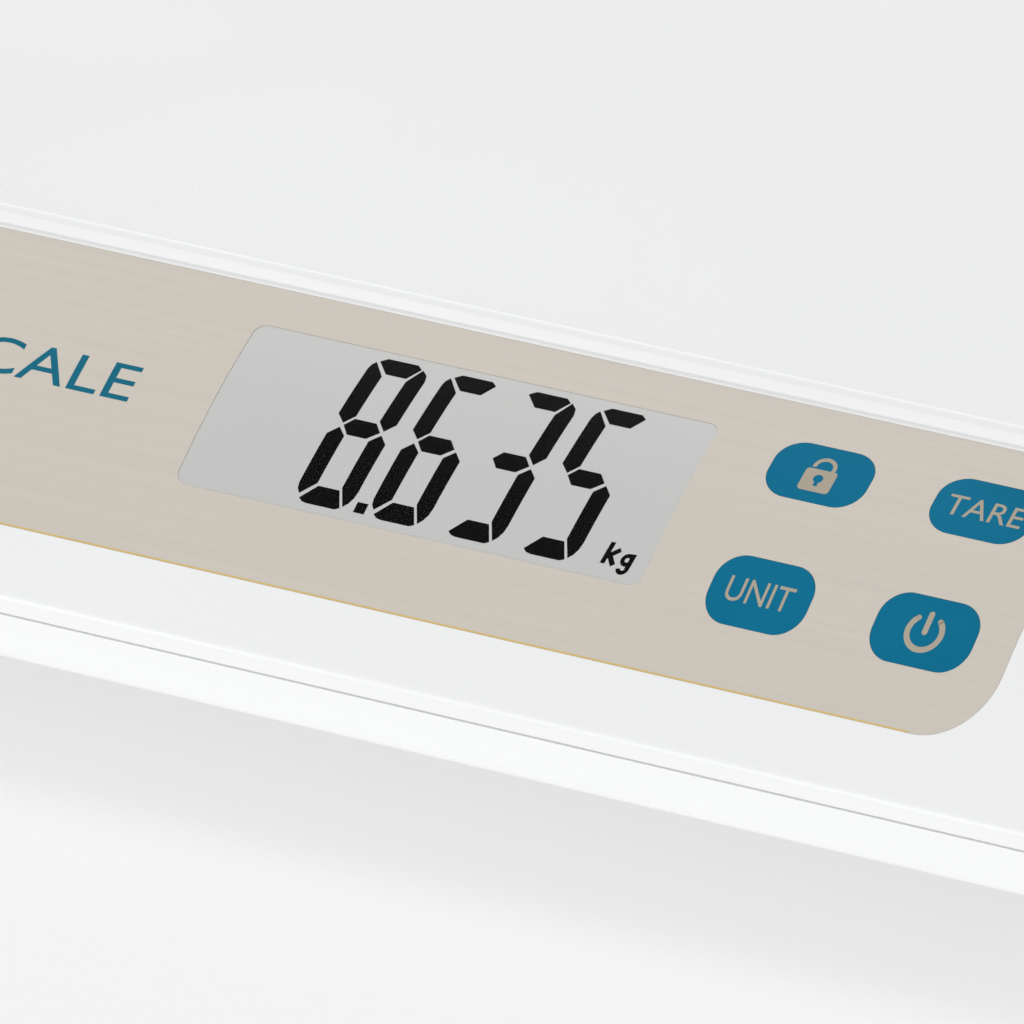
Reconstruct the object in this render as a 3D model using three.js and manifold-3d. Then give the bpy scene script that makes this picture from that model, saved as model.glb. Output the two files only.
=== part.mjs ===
// Digital baby scale: a dished lying tray with a low front console, on four load-cell feet.
// Millimetres. X runs along the width, Y from the console to the rear, Z up from the floor.
import * as THREE from 'three';
import { mergeVertices } from 'three/addons/utils/BufferGeometryUtils.js';
import Module from 'manifold-3d';

const wasm = await Module();
wasm.setup();

// ---------------------------------------------------------------- driving dimensions

const WIDTH = 550;
const DEPTH = 330;
const CORNER_RADIUS = 85;
const WALL = 3;
const GAP = 0.3;

const UNDERSIDE_Z = 10;
const SEAM_Z = 19.45;
const LOWER_EDGE_RADIUS = 4;
const FLOOR = 2.5;

// The console's curve, seen from the side: height over the overlay's lower edge.
const PANEL_Z = 29;
const PANEL_SETBACK = 9;
const PANEL_WIDTH = 195;
const PANEL_DEPTH = 47.88;
const PANEL_CORNER = 10;
const PANEL_SLOPE = 0.6757;
const PANEL_CURVE = 0.010754;
const PANEL_STATION = 8;
const FILM = 0.5;

const PANEL_REACH = 110;

// Behind the overlay: a narrow strip, then a short wall up to the crest.
const EDGE_RADIUS = 3;
const CREST_STRIP = 0.92;
const CREST_RUN = 50.9;
const CREST_RISE = 22.6;

// The rim climbs from the console to the ends and the rear.
const RIM_WIDTH = 34;
const RIM_RISE = 34;
const REAR_SHARE = 0.8;
const END_SHARE = 0.85;
const CONSOLE_HALF = 105;

const TRAY_Z = 38;
const TRAY_HALF_WIDTH = 110;
const TRAY_HALF_DEPTH = 22;
const TRAY_CORNER = 18;
const TRAY_CENTRE_Y = 13;
const TRAY_FULLNESS = 0.6;

const WINDOW = { x: 0, y: 25.47, width: 77, depth: 28.9, corner: 2 };
const DISPLAY = { x: 0, y: 25.47, width: 80.8, depth: 32.8, corner: 1 };
const DISPLAY_THICKNESS = 2.4;
const HOLDER = { x: 0, y: 25.47, width: 88, depth: 39, corner: 2 };
const HOLDER_LIGHT = { x: 0, y: 25.47, width: 70, depth: 23, corner: 1 };
const HOLDER_BOTTOM = -8;
const FLANGE_THICKNESS = 2;
const ZEBRA = { halfLength: 33, run: 16.2, halfWidth: 1, top: -4.6 };

const KEY_WIDTH = 15.93;
const KEY_DEPTH = 10.57;
const KEY_CORNER = 4.27;
const KEY_THICKNESS = 2;
const KEY_GAP = 0.4;
const KEYS = [
  { name: 'lock', x: 56.95, y: 35.03 },
  { name: 'tare', x: 83.43, y: 35.03 },
  { name: 'unit', x: 56.95, y: 13.94 },
  { name: 'power', x: 83.43, y: 13.94 },
];

const BOARD_Y = 25;
const BOARD_DROP = 11.5;
const BOARD_THICKNESS = 1.6;
const BOARD_DEPTH = 38;
const BOARD_LEFT = -54;
const BOARD_RIGHT = 92;
const BOARD_POSTS = [[-49, -14], [-49, 14], [70.2, -14], [70.2, 14]];
const BOARD_POST_TOP = -2.5;
const CHIP = { left: -27, right: -13, front: -3, back: 11, height: 1.8 };
const SWITCH_HEIGHT = 5;
const SWITCH_BODY = 3;
const SWITCH_BUTTON_RADIUS = 1.75;
const KEY_STEM_RADIUS = 2;
const KEY_STEM_BOTTOM = -6;
const KEY_STEM_TOP = -1.2;

const FEET = [
  { name: 'front_left', x: -200, y: -95 },
  { name: 'front_right', x: 200, y: -95 },
  { name: 'rear_left', x: -200, y: 95 },
  { name: 'rear_right', x: 200, y: 95 },
];
const FOOT_RADIUS = 20;
const PAD_RADIUS = 16;
const STEM_RADIUS = 11;
const STEM_GAP = 2;
const FOOT_CHAMFER = 0.6;
const CELL_SEAT_RADIUS = 24;
const CELL_SIZE = 34;
const CELL_SLOT = { outer: 11, inner: 8 };
const CELL_Z = 15.5;
const CELL_THICKNESS = 2;

const BATTERY_Y = 40;
const BATTERY_RADIUS = 5.25;
const BATTERY_LENGTH = 43.5;
const BATTERY_PITCH = 11;
const BATTERY_Z = 18.1;
const BAY = { width: 56, depth: 46, top: 24.4 };
const BAY_WALL = 2;
const DOOR = { width: 62, depth: 52, thickness: 2, ledge: 15.4 };
const DOOR_GAP = 0.4;
const DOOR_LEDGE = 3;
const FINGER_NOTCH = { halfWidth: 8, depth: 3, fromBack: 4, height: 0.8 };
const CONTACT_REACH = 4;
const CONTACT_THICKNESS = 0.5;
const LEAD_X = 22;
const LEAD_HOLE_RADIUS = 3;
const WIRE_RADIUS = 0.9;

const HOUSING_SCREWS = [[-130, -138], [130, -138], [-243, 0], [243, 0], [-120, 141], [120, 141]];
const PLATE = { x: -110, y: 30, width: 64, depth: 38, corner: 2, thickness: 0.5 };

// Higher than every piece, for cutters that go right through.
const OVER_ALL = 90;

// ---------------------------------------------------------------- materials

const plastic = (color, roughness) => new THREE.MeshStandardMaterial({ color, roughness, metalness: 0 });
const metal = (color, roughness) => new THREE.MeshStandardMaterial({ color, roughness, metalness: 0.9 });
const WHITE_GLOSS = plastic(0xf4f5f5, 0.2);
const OVERLAY_BEIGE = plastic(0xd3cbbf, 0.45);
const WINDOW_CLEAR = plastic(0xe4e6e6, 0.15);
const DISPLAY_GREY = plastic(0xc8c9c9, 0.35);
const KEY_TEAL = plastic(0x1c6d89, 0.4);
const HOLDER_BLACK = plastic(0x2a2b2d, 0.5);
const RUBBER = plastic(0x3d3f42, 0.8);
const BOARD_GREEN = plastic(0x1d6b3c, 0.5);
const STEEL = metal(0xb9bcc0, 0.35);
const BATTERY_WRAP = plastic(0x3b6ea5, 0.35);
const LABEL_SILVER = plastic(0xd8dadb, 0.4);
const WIRE = plastic(0xb4362f, 0.5);

// ---------------------------------------------------------------- solids

function toSolid(geometry) {
  const bare = geometry.clone();
  bare.deleteAttribute('normal');
  bare.deleteAttribute('uv');
  const merged = mergeVertices(bare, 1e-4);
  return new wasm.Manifold(new wasm.Mesh({
    numProp: 3,
    vertProperties: new Float32Array(merged.attributes.position.array),
    triVerts: new Uint32Array(merged.index.array),
  }));
}

function toGeometry(solid) {
  const mesh = solid.getMesh();
  const geometry = new THREE.BufferGeometry();
  geometry.setAttribute('position', new THREE.BufferAttribute(new Float32Array(mesh.vertProperties), 3));
  geometry.setIndex(new THREE.BufferAttribute(new Uint32Array(mesh.triVerts), 1));
  return geometry;
}

const union = (solids) => solids.reduce((whole, solid) => whole.add(solid));
const cut = (solid, cutters) => cutters.reduce((whole, cutter) => whole.subtract(cutter), solid);

function box(low, high) {
  const size = high.map((value, axis) => value - low[axis]);
  const centre = high.map((value, axis) => (value + low[axis]) / 2);
  return new THREE.BoxGeometry(...size).translate(...centre);
}

function cylinder(radius, low, high, x = 0, y = 0, sides = 12) {
  const geometry = new THREE.CylinderGeometry(radius, radius, high - low, sides);
  return geometry.rotateX(Math.PI / 2).translate(x, y, (low + high) / 2);
}

// A turned piece about Z, from [radius, height] points that start and end on the axis.
function turned(points, sides = 20) {
  const profile = points.map(([radius, height]) => new THREE.Vector2(radius, height));
  return new THREE.LatheGeometry(profile, sides).rotateX(Math.PI / 2);
}

function roundedOutline({ x, y, width, depth, corner }, margin = 0) {
  const right = width / 2 + margin;
  const back = depth / 2 + margin;
  const radius = corner + margin;
  const shape = new THREE.Shape();
  shape.absarc(x + right - radius, y - back + radius, radius, -Math.PI / 2, 0);
  shape.absarc(x + right - radius, y + back - radius, radius, 0, Math.PI / 2);
  shape.absarc(x - right + radius, y + back - radius, radius, Math.PI / 2, Math.PI);
  shape.absarc(x - right + radius, y - back + radius, radius, Math.PI, Math.PI * 1.5);
  return shape;
}

function prism(outline, low, high, arcSteps = 2) {
  const settings = { depth: high - low, bevelEnabled: false, curveSegments: arcSteps };
  return new THREE.ExtrudeGeometry(outline, settings).translate(0, 0, low);
}

// ---------------------------------------------------------------- console and rim surfaces

const PANEL_ORIGIN_Y = PANEL_SETBACK - DEPTH / 2;

// Height of the console over the overlay's lower edge, at a run behind that edge.
function panelRise(run) {
  if (run < 0) return PANEL_SLOPE * run;
  const curved = Math.min(run, PANEL_DEPTH);
  const endSlope = PANEL_SLOPE - PANEL_CURVE * curved;
  return PANEL_SLOPE * curved - PANEL_CURVE * curved ** 2 / 2 + endSlope * (run - curved);
}

function panelStations(from, to) {
  const inner = [];
  for (let run = 0; run < PANEL_DEPTH; run += PANEL_STATION) inner.push(run);
  inner.push(PANEL_DEPTH);
  return [from, ...inner.filter((run) => run > from && run < to), to];
}

// A slab that follows the console's curve, from one offset under it to another, all along X.
function panelSlab(from, to, bottom, top, halfWidth) {
  const runs = panelStations(from, to);
  const upper = runs.map((run) => [run, panelRise(run) + top]);
  const lower = runs.map((run) => [run, panelRise(run) + bottom]).reverse();
  const shape = new THREE.Shape([...lower, ...upper].map(([run, rise]) => new THREE.Vector2(run, rise)));
  const geometry = new THREE.ExtrudeGeometry(shape, { depth: halfWidth * 2, bevelEnabled: false });
  const turn = new THREE.Matrix4().makeBasis(
    new THREE.Vector3(0, 1, 0), new THREE.Vector3(0, 0, 1), new THREE.Vector3(1, 0, 0));
  return toSolid(geometry.applyMatrix4(turn).translate(-halfWidth, PANEL_ORIGIN_Y, PANEL_Z));
}

// A vertical prism over the console, with its outline given in the overlay's own runs.
function panelPrism(outline, margin = 0, arcSteps = 2) {
  const geometry = prism(roundedOutline(outline, margin), 0, OVER_ALL, arcSteps);
  return toSolid(geometry.translate(0, PANEL_ORIGIN_Y, 0));
}

const OVERLAY = { x: 0, y: PANEL_DEPTH / 2, width: PANEL_WIDTH, depth: PANEL_DEPTH, corner: PANEL_CORNER };
const keyOutline = ({ x, y }) => ({ x, y, width: KEY_WIDTH, depth: KEY_DEPTH, corner: KEY_CORNER });

// Side view of the upper moulding, from the seam to the crest: [run, rise] over the overlay's lower edge.
function frontProfile() {
  const arcY = EDGE_RADIUS - PANEL_SETBACK;
  const slope = Math.atan(PANEL_SLOPE);
  const arcZ = PANEL_SLOPE * arcY - EDGE_RADIUS / Math.cos(slope);
  const points = [[-PANEL_SETBACK, SEAM_Z + GAP / 2 - PANEL_Z]];
  const steps = 2;
  for (let step = 0; step <= steps; step += 1) {
    const angle = Math.PI - (Math.PI / 2 - slope) * step / steps;
    points.push([arcY + EDGE_RADIUS * Math.cos(angle), arcZ + EDGE_RADIUS * Math.sin(angle)]);
  }
  const strip = PANEL_DEPTH + CREST_STRIP;
  for (const run of panelStations(0, strip)) points.push([run, panelRise(run)]);
  points.push([strip + 0.7, CREST_RISE - 2.1], [strip + 1, CREST_RISE - 0.7], [CREST_RUN, CREST_RISE]);
  return points;
}

// The rounded rectangle that the moulding follows, at a run behind the overlay's lower edge.
function rimRing(run) {
  const share = (run + PANEL_SETBACK) / (CREST_RUN + PANEL_SETBACK);
  return {
    halfWidth: WIDTH / 2 - RIM_WIDTH * share,
    front: PANEL_ORIGIN_Y + run,
    rear: DEPTH / 2 - RIM_WIDTH * share,
    corner: CORNER_RADIUS - RIM_WIDTH * share,
  };
}

function insetRing(ring, inset) {
  return {
    halfWidth: ring.halfWidth - inset,
    front: ring.front + inset,
    rear: ring.rear - inset,
    corner: ring.corner - inset,
  };
}

function trayRing(share) {
  const crest = rimRing(CREST_RUN);
  const mix = (from, to) => from + (to - from) * share;
  return {
    halfWidth: mix(crest.halfWidth, TRAY_HALF_WIDTH),
    front: mix(crest.front, TRAY_CENTRE_Y - TRAY_HALF_DEPTH),
    rear: mix(crest.rear, TRAY_CENTRE_Y + TRAY_HALF_DEPTH),
    corner: mix(crest.corner, TRAY_CORNER),
  };
}

const FRONT_STOPS = [-1, -0.775, -0.55, 0.55, 0.775, 1];
const SIDE_STOPS = [0, 0.33, 0.67, 1];
const REAR_STOPS = [1, 0.5, 0, -0.5, -1];
const CORNER_STEPS = 5;

// Points of a ring, anticlockwise from above, the same count and order on every ring.
function ringPoints({ halfWidth, front, rear, corner }) {
  const straight = halfWidth - corner;
  const sideY = (stop) => THREE.MathUtils.lerp(front + corner, rear - corner, stop);
  const bend = (x, y, start) => {
    const points = [];
    for (let step = 1; step < CORNER_STEPS; step += 1) {
      const angle = start + (Math.PI / 2) * step / CORNER_STEPS;
      points.push([x + corner * Math.cos(angle), y + corner * Math.sin(angle)]);
    }
    return points;
  };
  return [
    ...FRONT_STOPS.map((stop) => [stop * straight, front]),
    ...bend(straight, front + corner, -Math.PI / 2),
    ...SIDE_STOPS.map((stop) => [halfWidth, sideY(stop)]),
    ...bend(straight, rear - corner, 0),
    ...REAR_STOPS.map((stop) => [stop * straight, rear]),
    ...bend(-straight, rear - corner, Math.PI / 2),
    ...SIDE_STOPS.map((stop) => [-halfWidth, sideY(1 - stop)]),
    ...bend(-straight, front + corner, Math.PI),
  ];
}

const smooth = (value) => THREE.MathUtils.smoothstep(value, 0, 1);

// A point of a rim ring stands this many times as high over the seam as the console does.
function rimFactor([x, y], ring) {
  const rear = smooth((y - ring.front) / (ring.rear - ring.front));
  const end = smooth((Math.abs(x) - CONSOLE_HALF) / (ring.halfWidth - CONSOLE_HALF));
  const climb = 1 - (1 - REAR_SHARE * rear) * (1 - END_SHARE * end);
  return 1 + RIM_RISE * climb / (PANEL_Z + CREST_RISE - SEAM_Z);
}

function rimLoop(run, rise, inset = 0) {
  const outer = rimRing(run);
  const inner = ringPoints(insetRing(outer, inset));
  return ringPoints(outer).map((point, index) => {
    const height = SEAM_Z + (PANEL_Z + rise - SEAM_Z) * rimFactor(point, outer);
    return [...inner[index], height - inset];
  });
}

function trayLoop(share, drop = 0) {
  const crest = rimLoop(CREST_RUN, CREST_RISE);
  const fall = (1 - share) ** 2 * (1 + TRAY_FULLNESS * share);
  return ringPoints(trayRing(share)).map(([x, y], index) => {
    return [x, y, TRAY_Z + (crest[index][2] - TRAY_Z) * fall - drop];
  });
}

const flatLoop = (ring, height) => ringPoints(ring).map(([x, y]) => [x, y, height]);

// A closed solid through a stack of loops, capped by a fan at each end.
function loft(loops) {
  const count = loops[0].length;
  const centre = (loop) => [0, 1, 2].map((axis) => {
    return loop.reduce((sum, point) => sum + point[axis] / count, 0);
  });
  const positions = [...loops.flat(), centre(loops[0]), centre(loops.at(-1))].flat();
  const lowest = loops.length * count;
  const top = (loops.length - 1) * count;
  const index = [];
  for (let side = 0; side < count; side += 1) {
    const next = (side + 1) % count;
    index.push(lowest, next, side, lowest + 1, top + side, top + next);
    for (let base = 0; base < top; base += count) {
      index.push(base + side, base + next, base + count + next);
      index.push(base + side, base + count + next, base + count + side);
    }
  }
  const geometry = new THREE.BufferGeometry();
  geometry.setAttribute('position', new THREE.Float32BufferAttribute(positions, 3));
  geometry.setIndex(index);
  return toSolid(geometry);
}

// ---------------------------------------------------------------- board frame

const BOARD_TILT = Math.atan(PANEL_SLOPE - PANEL_CURVE * BOARD_Y);
const boardFrame = new THREE.Matrix4()
  .makeRotationX(BOARD_TILT)
  .setPosition(0, PANEL_ORIGIN_Y + BOARD_Y, PANEL_Z + panelRise(BOARD_Y));
const onBoard = (geometry) => toSolid(geometry.applyMatrix4(boardFrame));

// Where a run on the console lies along the board, from the board's middle.
function boardY(run) {
  const rise = panelRise(run) - panelRise(BOARD_Y);
  return (run - BOARD_Y) * Math.cos(BOARD_TILT) + rise * Math.sin(BOARD_TILT);
}

// ---------------------------------------------------------------- housings

const SCREW_BOSS_RADIUS = 4.5;
const SCREW_SHANK = 1.7;
const SCREW_HEAD = 3.5;
const SCREW_HEAD_SEAT = 3.4;
const SCREW_PAD_RADIUS = 6;
const SCREW_PAD_TOP = 16;
const PILOT_TOP = 30;
const SCREW_END = 29;
const BOARD_POST_RADIUS = 3;
const BOARD_SCREW_SHANK = 1.3;
const BOARD_PILOT_TOP = -5;

// Where the loops of the outer and inner skins lie: runs on the rim, shares of the way into the tray.
const OUTER_TRAY_SHARES = [0.07, 0.2, 0.38, 0.6, 0.8, 1];
const INNER_TRAY_SHARES = [0.04, 0.2, 0.38, 0.6, 1];
const INNER_RIM_RUNS = [-6.6, 6, 24, 46];

function outerBody() {
  const rim = frontProfile().map(([run, rise], index) => {
    return index ? rimLoop(run, rise) : flatLoop(rimRing(run), PANEL_Z + rise);
  });
  const tray = OUTER_TRAY_SHARES.map((share) => trayLoop(share));
  return loft([...rim, ...tray]);
}

function innerBody() {
  const start = insetRing(rimRing(-PANEL_SETBACK), WALL);
  const rim = INNER_RIM_RUNS.map((run) => rimLoop(run, panelRise(run), WALL));
  const tray = INNER_TRAY_SHARES.map((share) => trayLoop(share, WALL));
  return loft([flatLoop(start, SEAM_Z - 1), ...rim, ...tray]);
}

function topHousing() {
  const outer = outerBody();
  const bosses = HOUSING_SCREWS.map(([x, y]) => {
    const tall = toSolid(cylinder(SCREW_BOSS_RADIUS, SEAM_Z + 1, OVER_ALL, x, y)).intersect(outer);
    return tall.add(toSolid(cylinder(SCREW_BOSS_RADIUS, SCREW_PAD_TOP + GAP, SEAM_Z + 2, x, y)));
  });
  const posts = BOARD_POSTS.map(([x, y]) => {
    return onBoard(cylinder(BOARD_POST_RADIUS, GAP - BOARD_DROP, BOARD_POST_TOP, x, y, 8));
  });
  const pilots = HOUSING_SCREWS.map(([x, y]) => {
    return toSolid(cylinder(SCREW_SHANK + GAP, UNDERSIDE_Z, PILOT_TOP, x, y, 8));
  });
  const boardPilots = BOARD_POSTS.map(([x, y]) => {
    const radius = BOARD_SCREW_SHANK + GAP;
    return onBoard(cylinder(radius, -BOARD_DROP - BOARD_THICKNESS, BOARD_PILOT_TOP, x, y, 8));
  });
  const recess = panelSlab(-1, PANEL_DEPTH + GAP, -FILM - GAP, 2 * WALL, PANEL_REACH)
    .intersect(panelPrism(OVERLAY, GAP, 3));
  const opening = panelPrism(DISPLAY, GAP);
  const keyHoles = KEYS.map((key) => panelPrism(keyOutline(key), KEY_GAP));
  const shell = cut(outer, [innerBody()]);
  const solid = union([shell, ...bosses, ...posts]);
  return cut(solid, [...pilots, ...boardPilots, recess, opening, ...keyHoles]);
}

function bottomHousing() {
  const outline = rimRing(-PANEL_SETBACK);
  const loops = [0, 30, 60, 90].map((degrees) => {
    const angle = THREE.MathUtils.degToRad(degrees);
    const inset = LOWER_EDGE_RADIUS * (1 - Math.sin(angle));
    return flatLoop(insetRing(outline, inset), UNDERSIDE_Z + LOWER_EDGE_RADIUS * (1 - Math.cos(angle)));
  });
  const outer = loft([...loops, flatLoop(outline, SEAM_Z - GAP / 2)]);
  const inner = loft([
    flatLoop(insetRing(outline, WALL + 2), UNDERSIDE_Z + FLOOR),
    flatLoop(insetRing(outline, WALL), UNDERSIDE_Z + FLOOR + 2),
    flatLoop(insetRing(outline, WALL), SEAM_Z + 1),
  ]);
  const standing = (radius, top, sides) => ({ x, y }) => {
    return toSolid(cylinder(radius, UNDERSIDE_Z + 1, top, x, y, sides));
  };
  const through = (radius, top, sides) => ({ x, y }) => toSolid(cylinder(radius, 0, top, x, y, sides));
  const screws = HOUSING_SCREWS.map(([x, y]) => ({ x, y }));
  const screwPads = screws.map(standing(SCREW_PAD_RADIUS, SCREW_PAD_TOP, 12));
  const screwHoles = screws.map(through(SCREW_SHANK + GAP, SEAM_Z, 8));
  const headSeats = screws.map(through(SCREW_HEAD + GAP, UNDERSIDE_Z + SCREW_HEAD_SEAT, 12));
  const cellSeats = FEET.map(standing(CELL_SEAT_RADIUS, CELL_Z - GAP, 16));
  const stemHoles = FEET.map(through(STEM_RADIUS + STEM_GAP, SEAM_Z, 12));
  const plateTop = UNDERSIDE_Z + PLATE.thickness + GAP;
  const plateRecess = toSolid(prism(roundedOutline(PLATE, GAP), 0, plateTop));
  const padded = union([cut(outer, [inner]), ...screwPads, ...cellSeats, batteryBay()]);
  return cut(padded, [...screwHoles, ...headSeats, ...stemHoles, plateRecess, ...batteryCutters()]);
}

function batteryBay() {
  const around = ({ width, depth }, margin, top) => {
    const side = width / 2 + margin;
    const half = depth / 2 + margin;
    return toSolid(box([-side, BATTERY_Y - half, UNDERSIDE_Z + 1], [side, BATTERY_Y + half, top]));
  };
  return around(DOOR, DOOR_LEDGE, DOOR.ledge).add(around(BAY, BAY_WALL, BAY.top + BAY_WALL));
}

function batteryCutters() {
  const inside = box([-BAY.width / 2, BATTERY_Y - BAY.depth / 2, 0],
    [BAY.width / 2, BATTERY_Y + BAY.depth / 2, BAY.top]);
  const side = DOOR.width / 2 + DOOR_GAP;
  const half = DOOR.depth / 2 + DOOR_GAP;
  const recess = box([-side, BATTERY_Y - half, 0],
    [side, BATTERY_Y + half, UNDERSIDE_Z + DOOR.thickness + DOOR_GAP]);
  const leadHole = cylinder(LEAD_HOLE_RADIUS, BAY.top - 4, BAY.top + 4, LEAD_X, BATTERY_Y, 8);
  return [toSolid(inside), toSolid(recess), toSolid(leadHole)];
}

// ---------------------------------------------------------------- panel pieces

function panelOverlay() {
  const film = panelSlab(0, PANEL_DEPTH, -FILM, 0, PANEL_REACH).intersect(panelPrism(OVERLAY, 0, 3));
  return cut(film, [panelPrism(WINDOW), ...KEYS.map((key) => panelPrism(keyOutline(key), GAP))]);
}

function displayWindow() {
  return panelSlab(0, PANEL_DEPTH, -FILM, 0, PANEL_REACH).intersect(panelPrism(WINDOW, -GAP));
}

function lcdPanel() {
  const top = -FILM - GAP;
  const glass = panelSlab(0, PANEL_DEPTH, top - DISPLAY_THICKNESS, top, PANEL_REACH);
  return glass.intersect(panelPrism(DISPLAY));
}

// A frame under the display: a step that fits the opening, on a wider flange.
function lcdHolder() {
  const underDisplay = -FILM - 2 * GAP - DISPLAY_THICKNESS;
  const step = panelSlab(0, PANEL_DEPTH, HOLDER_BOTTOM, underDisplay, PANEL_REACH)
    .intersect(panelPrism(DISPLAY, -GAP));
  const flange = panelSlab(0, PANEL_DEPTH, HOLDER_BOTTOM, HOLDER_BOTTOM + FLANGE_THICKNESS, PANEL_REACH)
    .intersect(panelPrism(HOLDER));
  return cut(step.add(flange), [panelPrism(HOLDER_LIGHT)]);
}

function zebraStrip() {
  const middle = boardY(ZEBRA.run);
  return onBoard(box([-ZEBRA.halfLength, middle - ZEBRA.halfWidth, GAP - BOARD_DROP],
    [ZEBRA.halfLength, middle + ZEBRA.halfWidth, ZEBRA.top]));
}

function keyPiece(key) {
  const cap = panelSlab(0, PANEL_DEPTH, -KEY_THICKNESS, 0, PANEL_REACH)
    .intersect(panelPrism(keyOutline(key)));
  const stem = cylinder(KEY_STEM_RADIUS, KEY_STEM_BOTTOM, KEY_STEM_TOP, key.x, boardY(key.y), 8);
  return cap.add(onBoard(stem));
}

// ---------------------------------------------------------------- electronics

function mainBoard() {
  const sheet = onBoard(box([BOARD_LEFT, -BOARD_DEPTH / 2, -BOARD_DROP - BOARD_THICKNESS],
    [BOARD_RIGHT, BOARD_DEPTH / 2, -BOARD_DROP]));
  return cut(sheet, BOARD_POSTS.map(([x, y]) => {
    return onBoard(cylinder(BOARD_SCREW_SHANK + GAP, -2 * BOARD_DROP, 0, x, y, 8));
  }));
}

function controllerChip() {
  return onBoard(box([CHIP.left, CHIP.front, GAP - BOARD_DROP],
    [CHIP.right, CHIP.back, CHIP.height - BOARD_DROP]));
}

function keySwitch(key) {
  const base = GAP - BOARD_DROP;
  const middle = boardY(key.y);
  const body = onBoard(box([key.x - SWITCH_BODY, middle - SWITCH_BODY, base],
    [key.x + SWITCH_BODY, middle + SWITCH_BODY, base + SWITCH_BODY]));
  const button = cylinder(SWITCH_BUTTON_RADIUS, base + 2, SWITCH_HEIGHT - BOARD_DROP, key.x, middle, 8);
  return body.add(onBoard(button));
}

// E-shaped strain-gauge plate: the foot presses its middle tongue, the outer frame is held.
function loadCell({ x, y }) {
  const frame = new THREE.Shape();
  const half = CELL_SIZE / 2;
  frame.moveTo(-half, -half).lineTo(half, -half).lineTo(half, half).lineTo(-half, half).closePath();
  const slot = new THREE.Path();
  const { outer, inner } = CELL_SLOT;
  slot.moveTo(-outer, outer).lineTo(-outer, -outer).lineTo(outer, -outer).lineTo(outer, outer);
  slot.lineTo(inner, outer).lineTo(inner, -inner).lineTo(-inner, -inner).lineTo(-inner, outer).closePath();
  frame.holes.push(slot);
  return prism(frame, CELL_Z, CELL_Z + CELL_THICKNESS).translate(x, y, 0);
}

// A round wire along a smooth route.
function wire(route, steps = 16) {
  const path = new THREE.CatmullRomCurve3(route.map((point) => new THREE.Vector3(...point)));
  const section = new THREE.Shape().absarc(0, 0, WIRE_RADIUS, 0, Math.PI * 2);
  return new THREE.ExtrudeGeometry(section, {
    steps, curveSegments: 3, bevelEnabled: false, extrudePath: path,
  });
}

// Where the wires come up to the board, and the height at which they cross the floor of the housing.
const BOARD_ENTRY = [PANEL_ORIGIN_Y + 34, PANEL_Z + 2];
const WIRE_Z = 14.6;

function sensorCable({ x, y }) {
  const side = Math.sign(x);
  const [entryY, entryZ] = BOARD_ENTRY;
  const entryX = side * 30 + (y > 0 ? 0 : side * 6);
  const rear = [[x - side * 22, y, CELL_Z + 1], [x - side * 45, y - 8, WIRE_Z + 0.4],
    [side * 105, 20, WIRE_Z], [side * 62, -70, WIRE_Z], [entryX, entryY + 8, 19], [entryX, entryY, entryZ]];
  const front = [[x - side * 22, y, CELL_Z + 1], [x - side * 45, y - 2, WIRE_Z + 0.4],
    [side * 100, -100, WIRE_Z], [entryX + side * 18, entryY + 6, 17], [entryX, entryY, entryZ]];
  return wire(y > 0 ? rear : front);
}

function batteryLead() {
  const [entryY, entryZ] = BOARD_ENTRY;
  const overBay = BAY.top + BAY_WALL + 3.1;
  return wire([[LEAD_X, BATTERY_Y, BAY.top - 0.5], [LEAD_X, BATTERY_Y, overBay - 2],
    [LEAD_X, BATTERY_Y - 5, overBay], [LEAD_X, BATTERY_Y - 20, overBay], [LEAD_X, BATTERY_Y - 36, 25],
    [20, -16, 18], [17, -40, 16], [13, -75, 16], [10, entryY + 14, 18], [8, entryY, entryZ]], 26);
}

// ---------------------------------------------------------------- feet, battery bay and fasteners

const PAD_TOP = 3.9;
const FOOT_BOTTOM = 3;
const FOOT_TOP = UNDERSIDE_Z - 0.7;
const STEM_TOP = CELL_Z - 0.6;

function foot() {
  const socket = PAD_RADIUS + GAP;
  const shoulder = FOOT_RADIUS - FOOT_CHAMFER;
  return turned([[0, PAD_TOP + GAP], [socket, PAD_TOP + GAP], [socket, FOOT_BOTTOM],
    [shoulder, FOOT_BOTTOM], [FOOT_RADIUS, FOOT_BOTTOM + FOOT_CHAMFER],
    [FOOT_RADIUS, FOOT_TOP - FOOT_CHAMFER], [shoulder, FOOT_TOP],
    [STEM_RADIUS, FOOT_TOP], [STEM_RADIUS, STEM_TOP], [0, STEM_TOP]]);
}

function footPad() {
  return turned([[0, 0], [PAD_RADIUS - 1, 0], [PAD_RADIUS, 1], [PAD_RADIUS, PAD_TOP], [0, PAD_TOP]]);
}

function batteryDoor() {
  const front = BATTERY_Y - DOOR.depth / 2;
  const middle = UNDERSIDE_Z + DOOR.thickness / 2;
  const leaf = box([-DOOR.width / 2, front + DOOR.thickness / 2, UNDERSIDE_Z],
    [DOOR.width / 2, BATTERY_Y + DOOR.depth / 2, UNDERSIDE_Z + DOOR.thickness]);
  const knuckle = new THREE.CylinderGeometry(DOOR.thickness / 2, DOOR.thickness / 2, DOOR.width, 12);
  knuckle.rotateZ(Math.PI / 2).translate(0, front + DOOR.thickness / 2, middle);
  const notchBack = BATTERY_Y + DOOR.depth / 2 - FINGER_NOTCH.fromBack;
  const notch = box([-FINGER_NOTCH.halfWidth, notchBack - FINGER_NOTCH.depth, 0],
    [FINGER_NOTCH.halfWidth, notchBack, UNDERSIDE_Z + FINGER_NOTCH.height]);
  return cut(toSolid(leaf).add(toSolid(knuckle)), [toSolid(notch)]);
}

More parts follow.
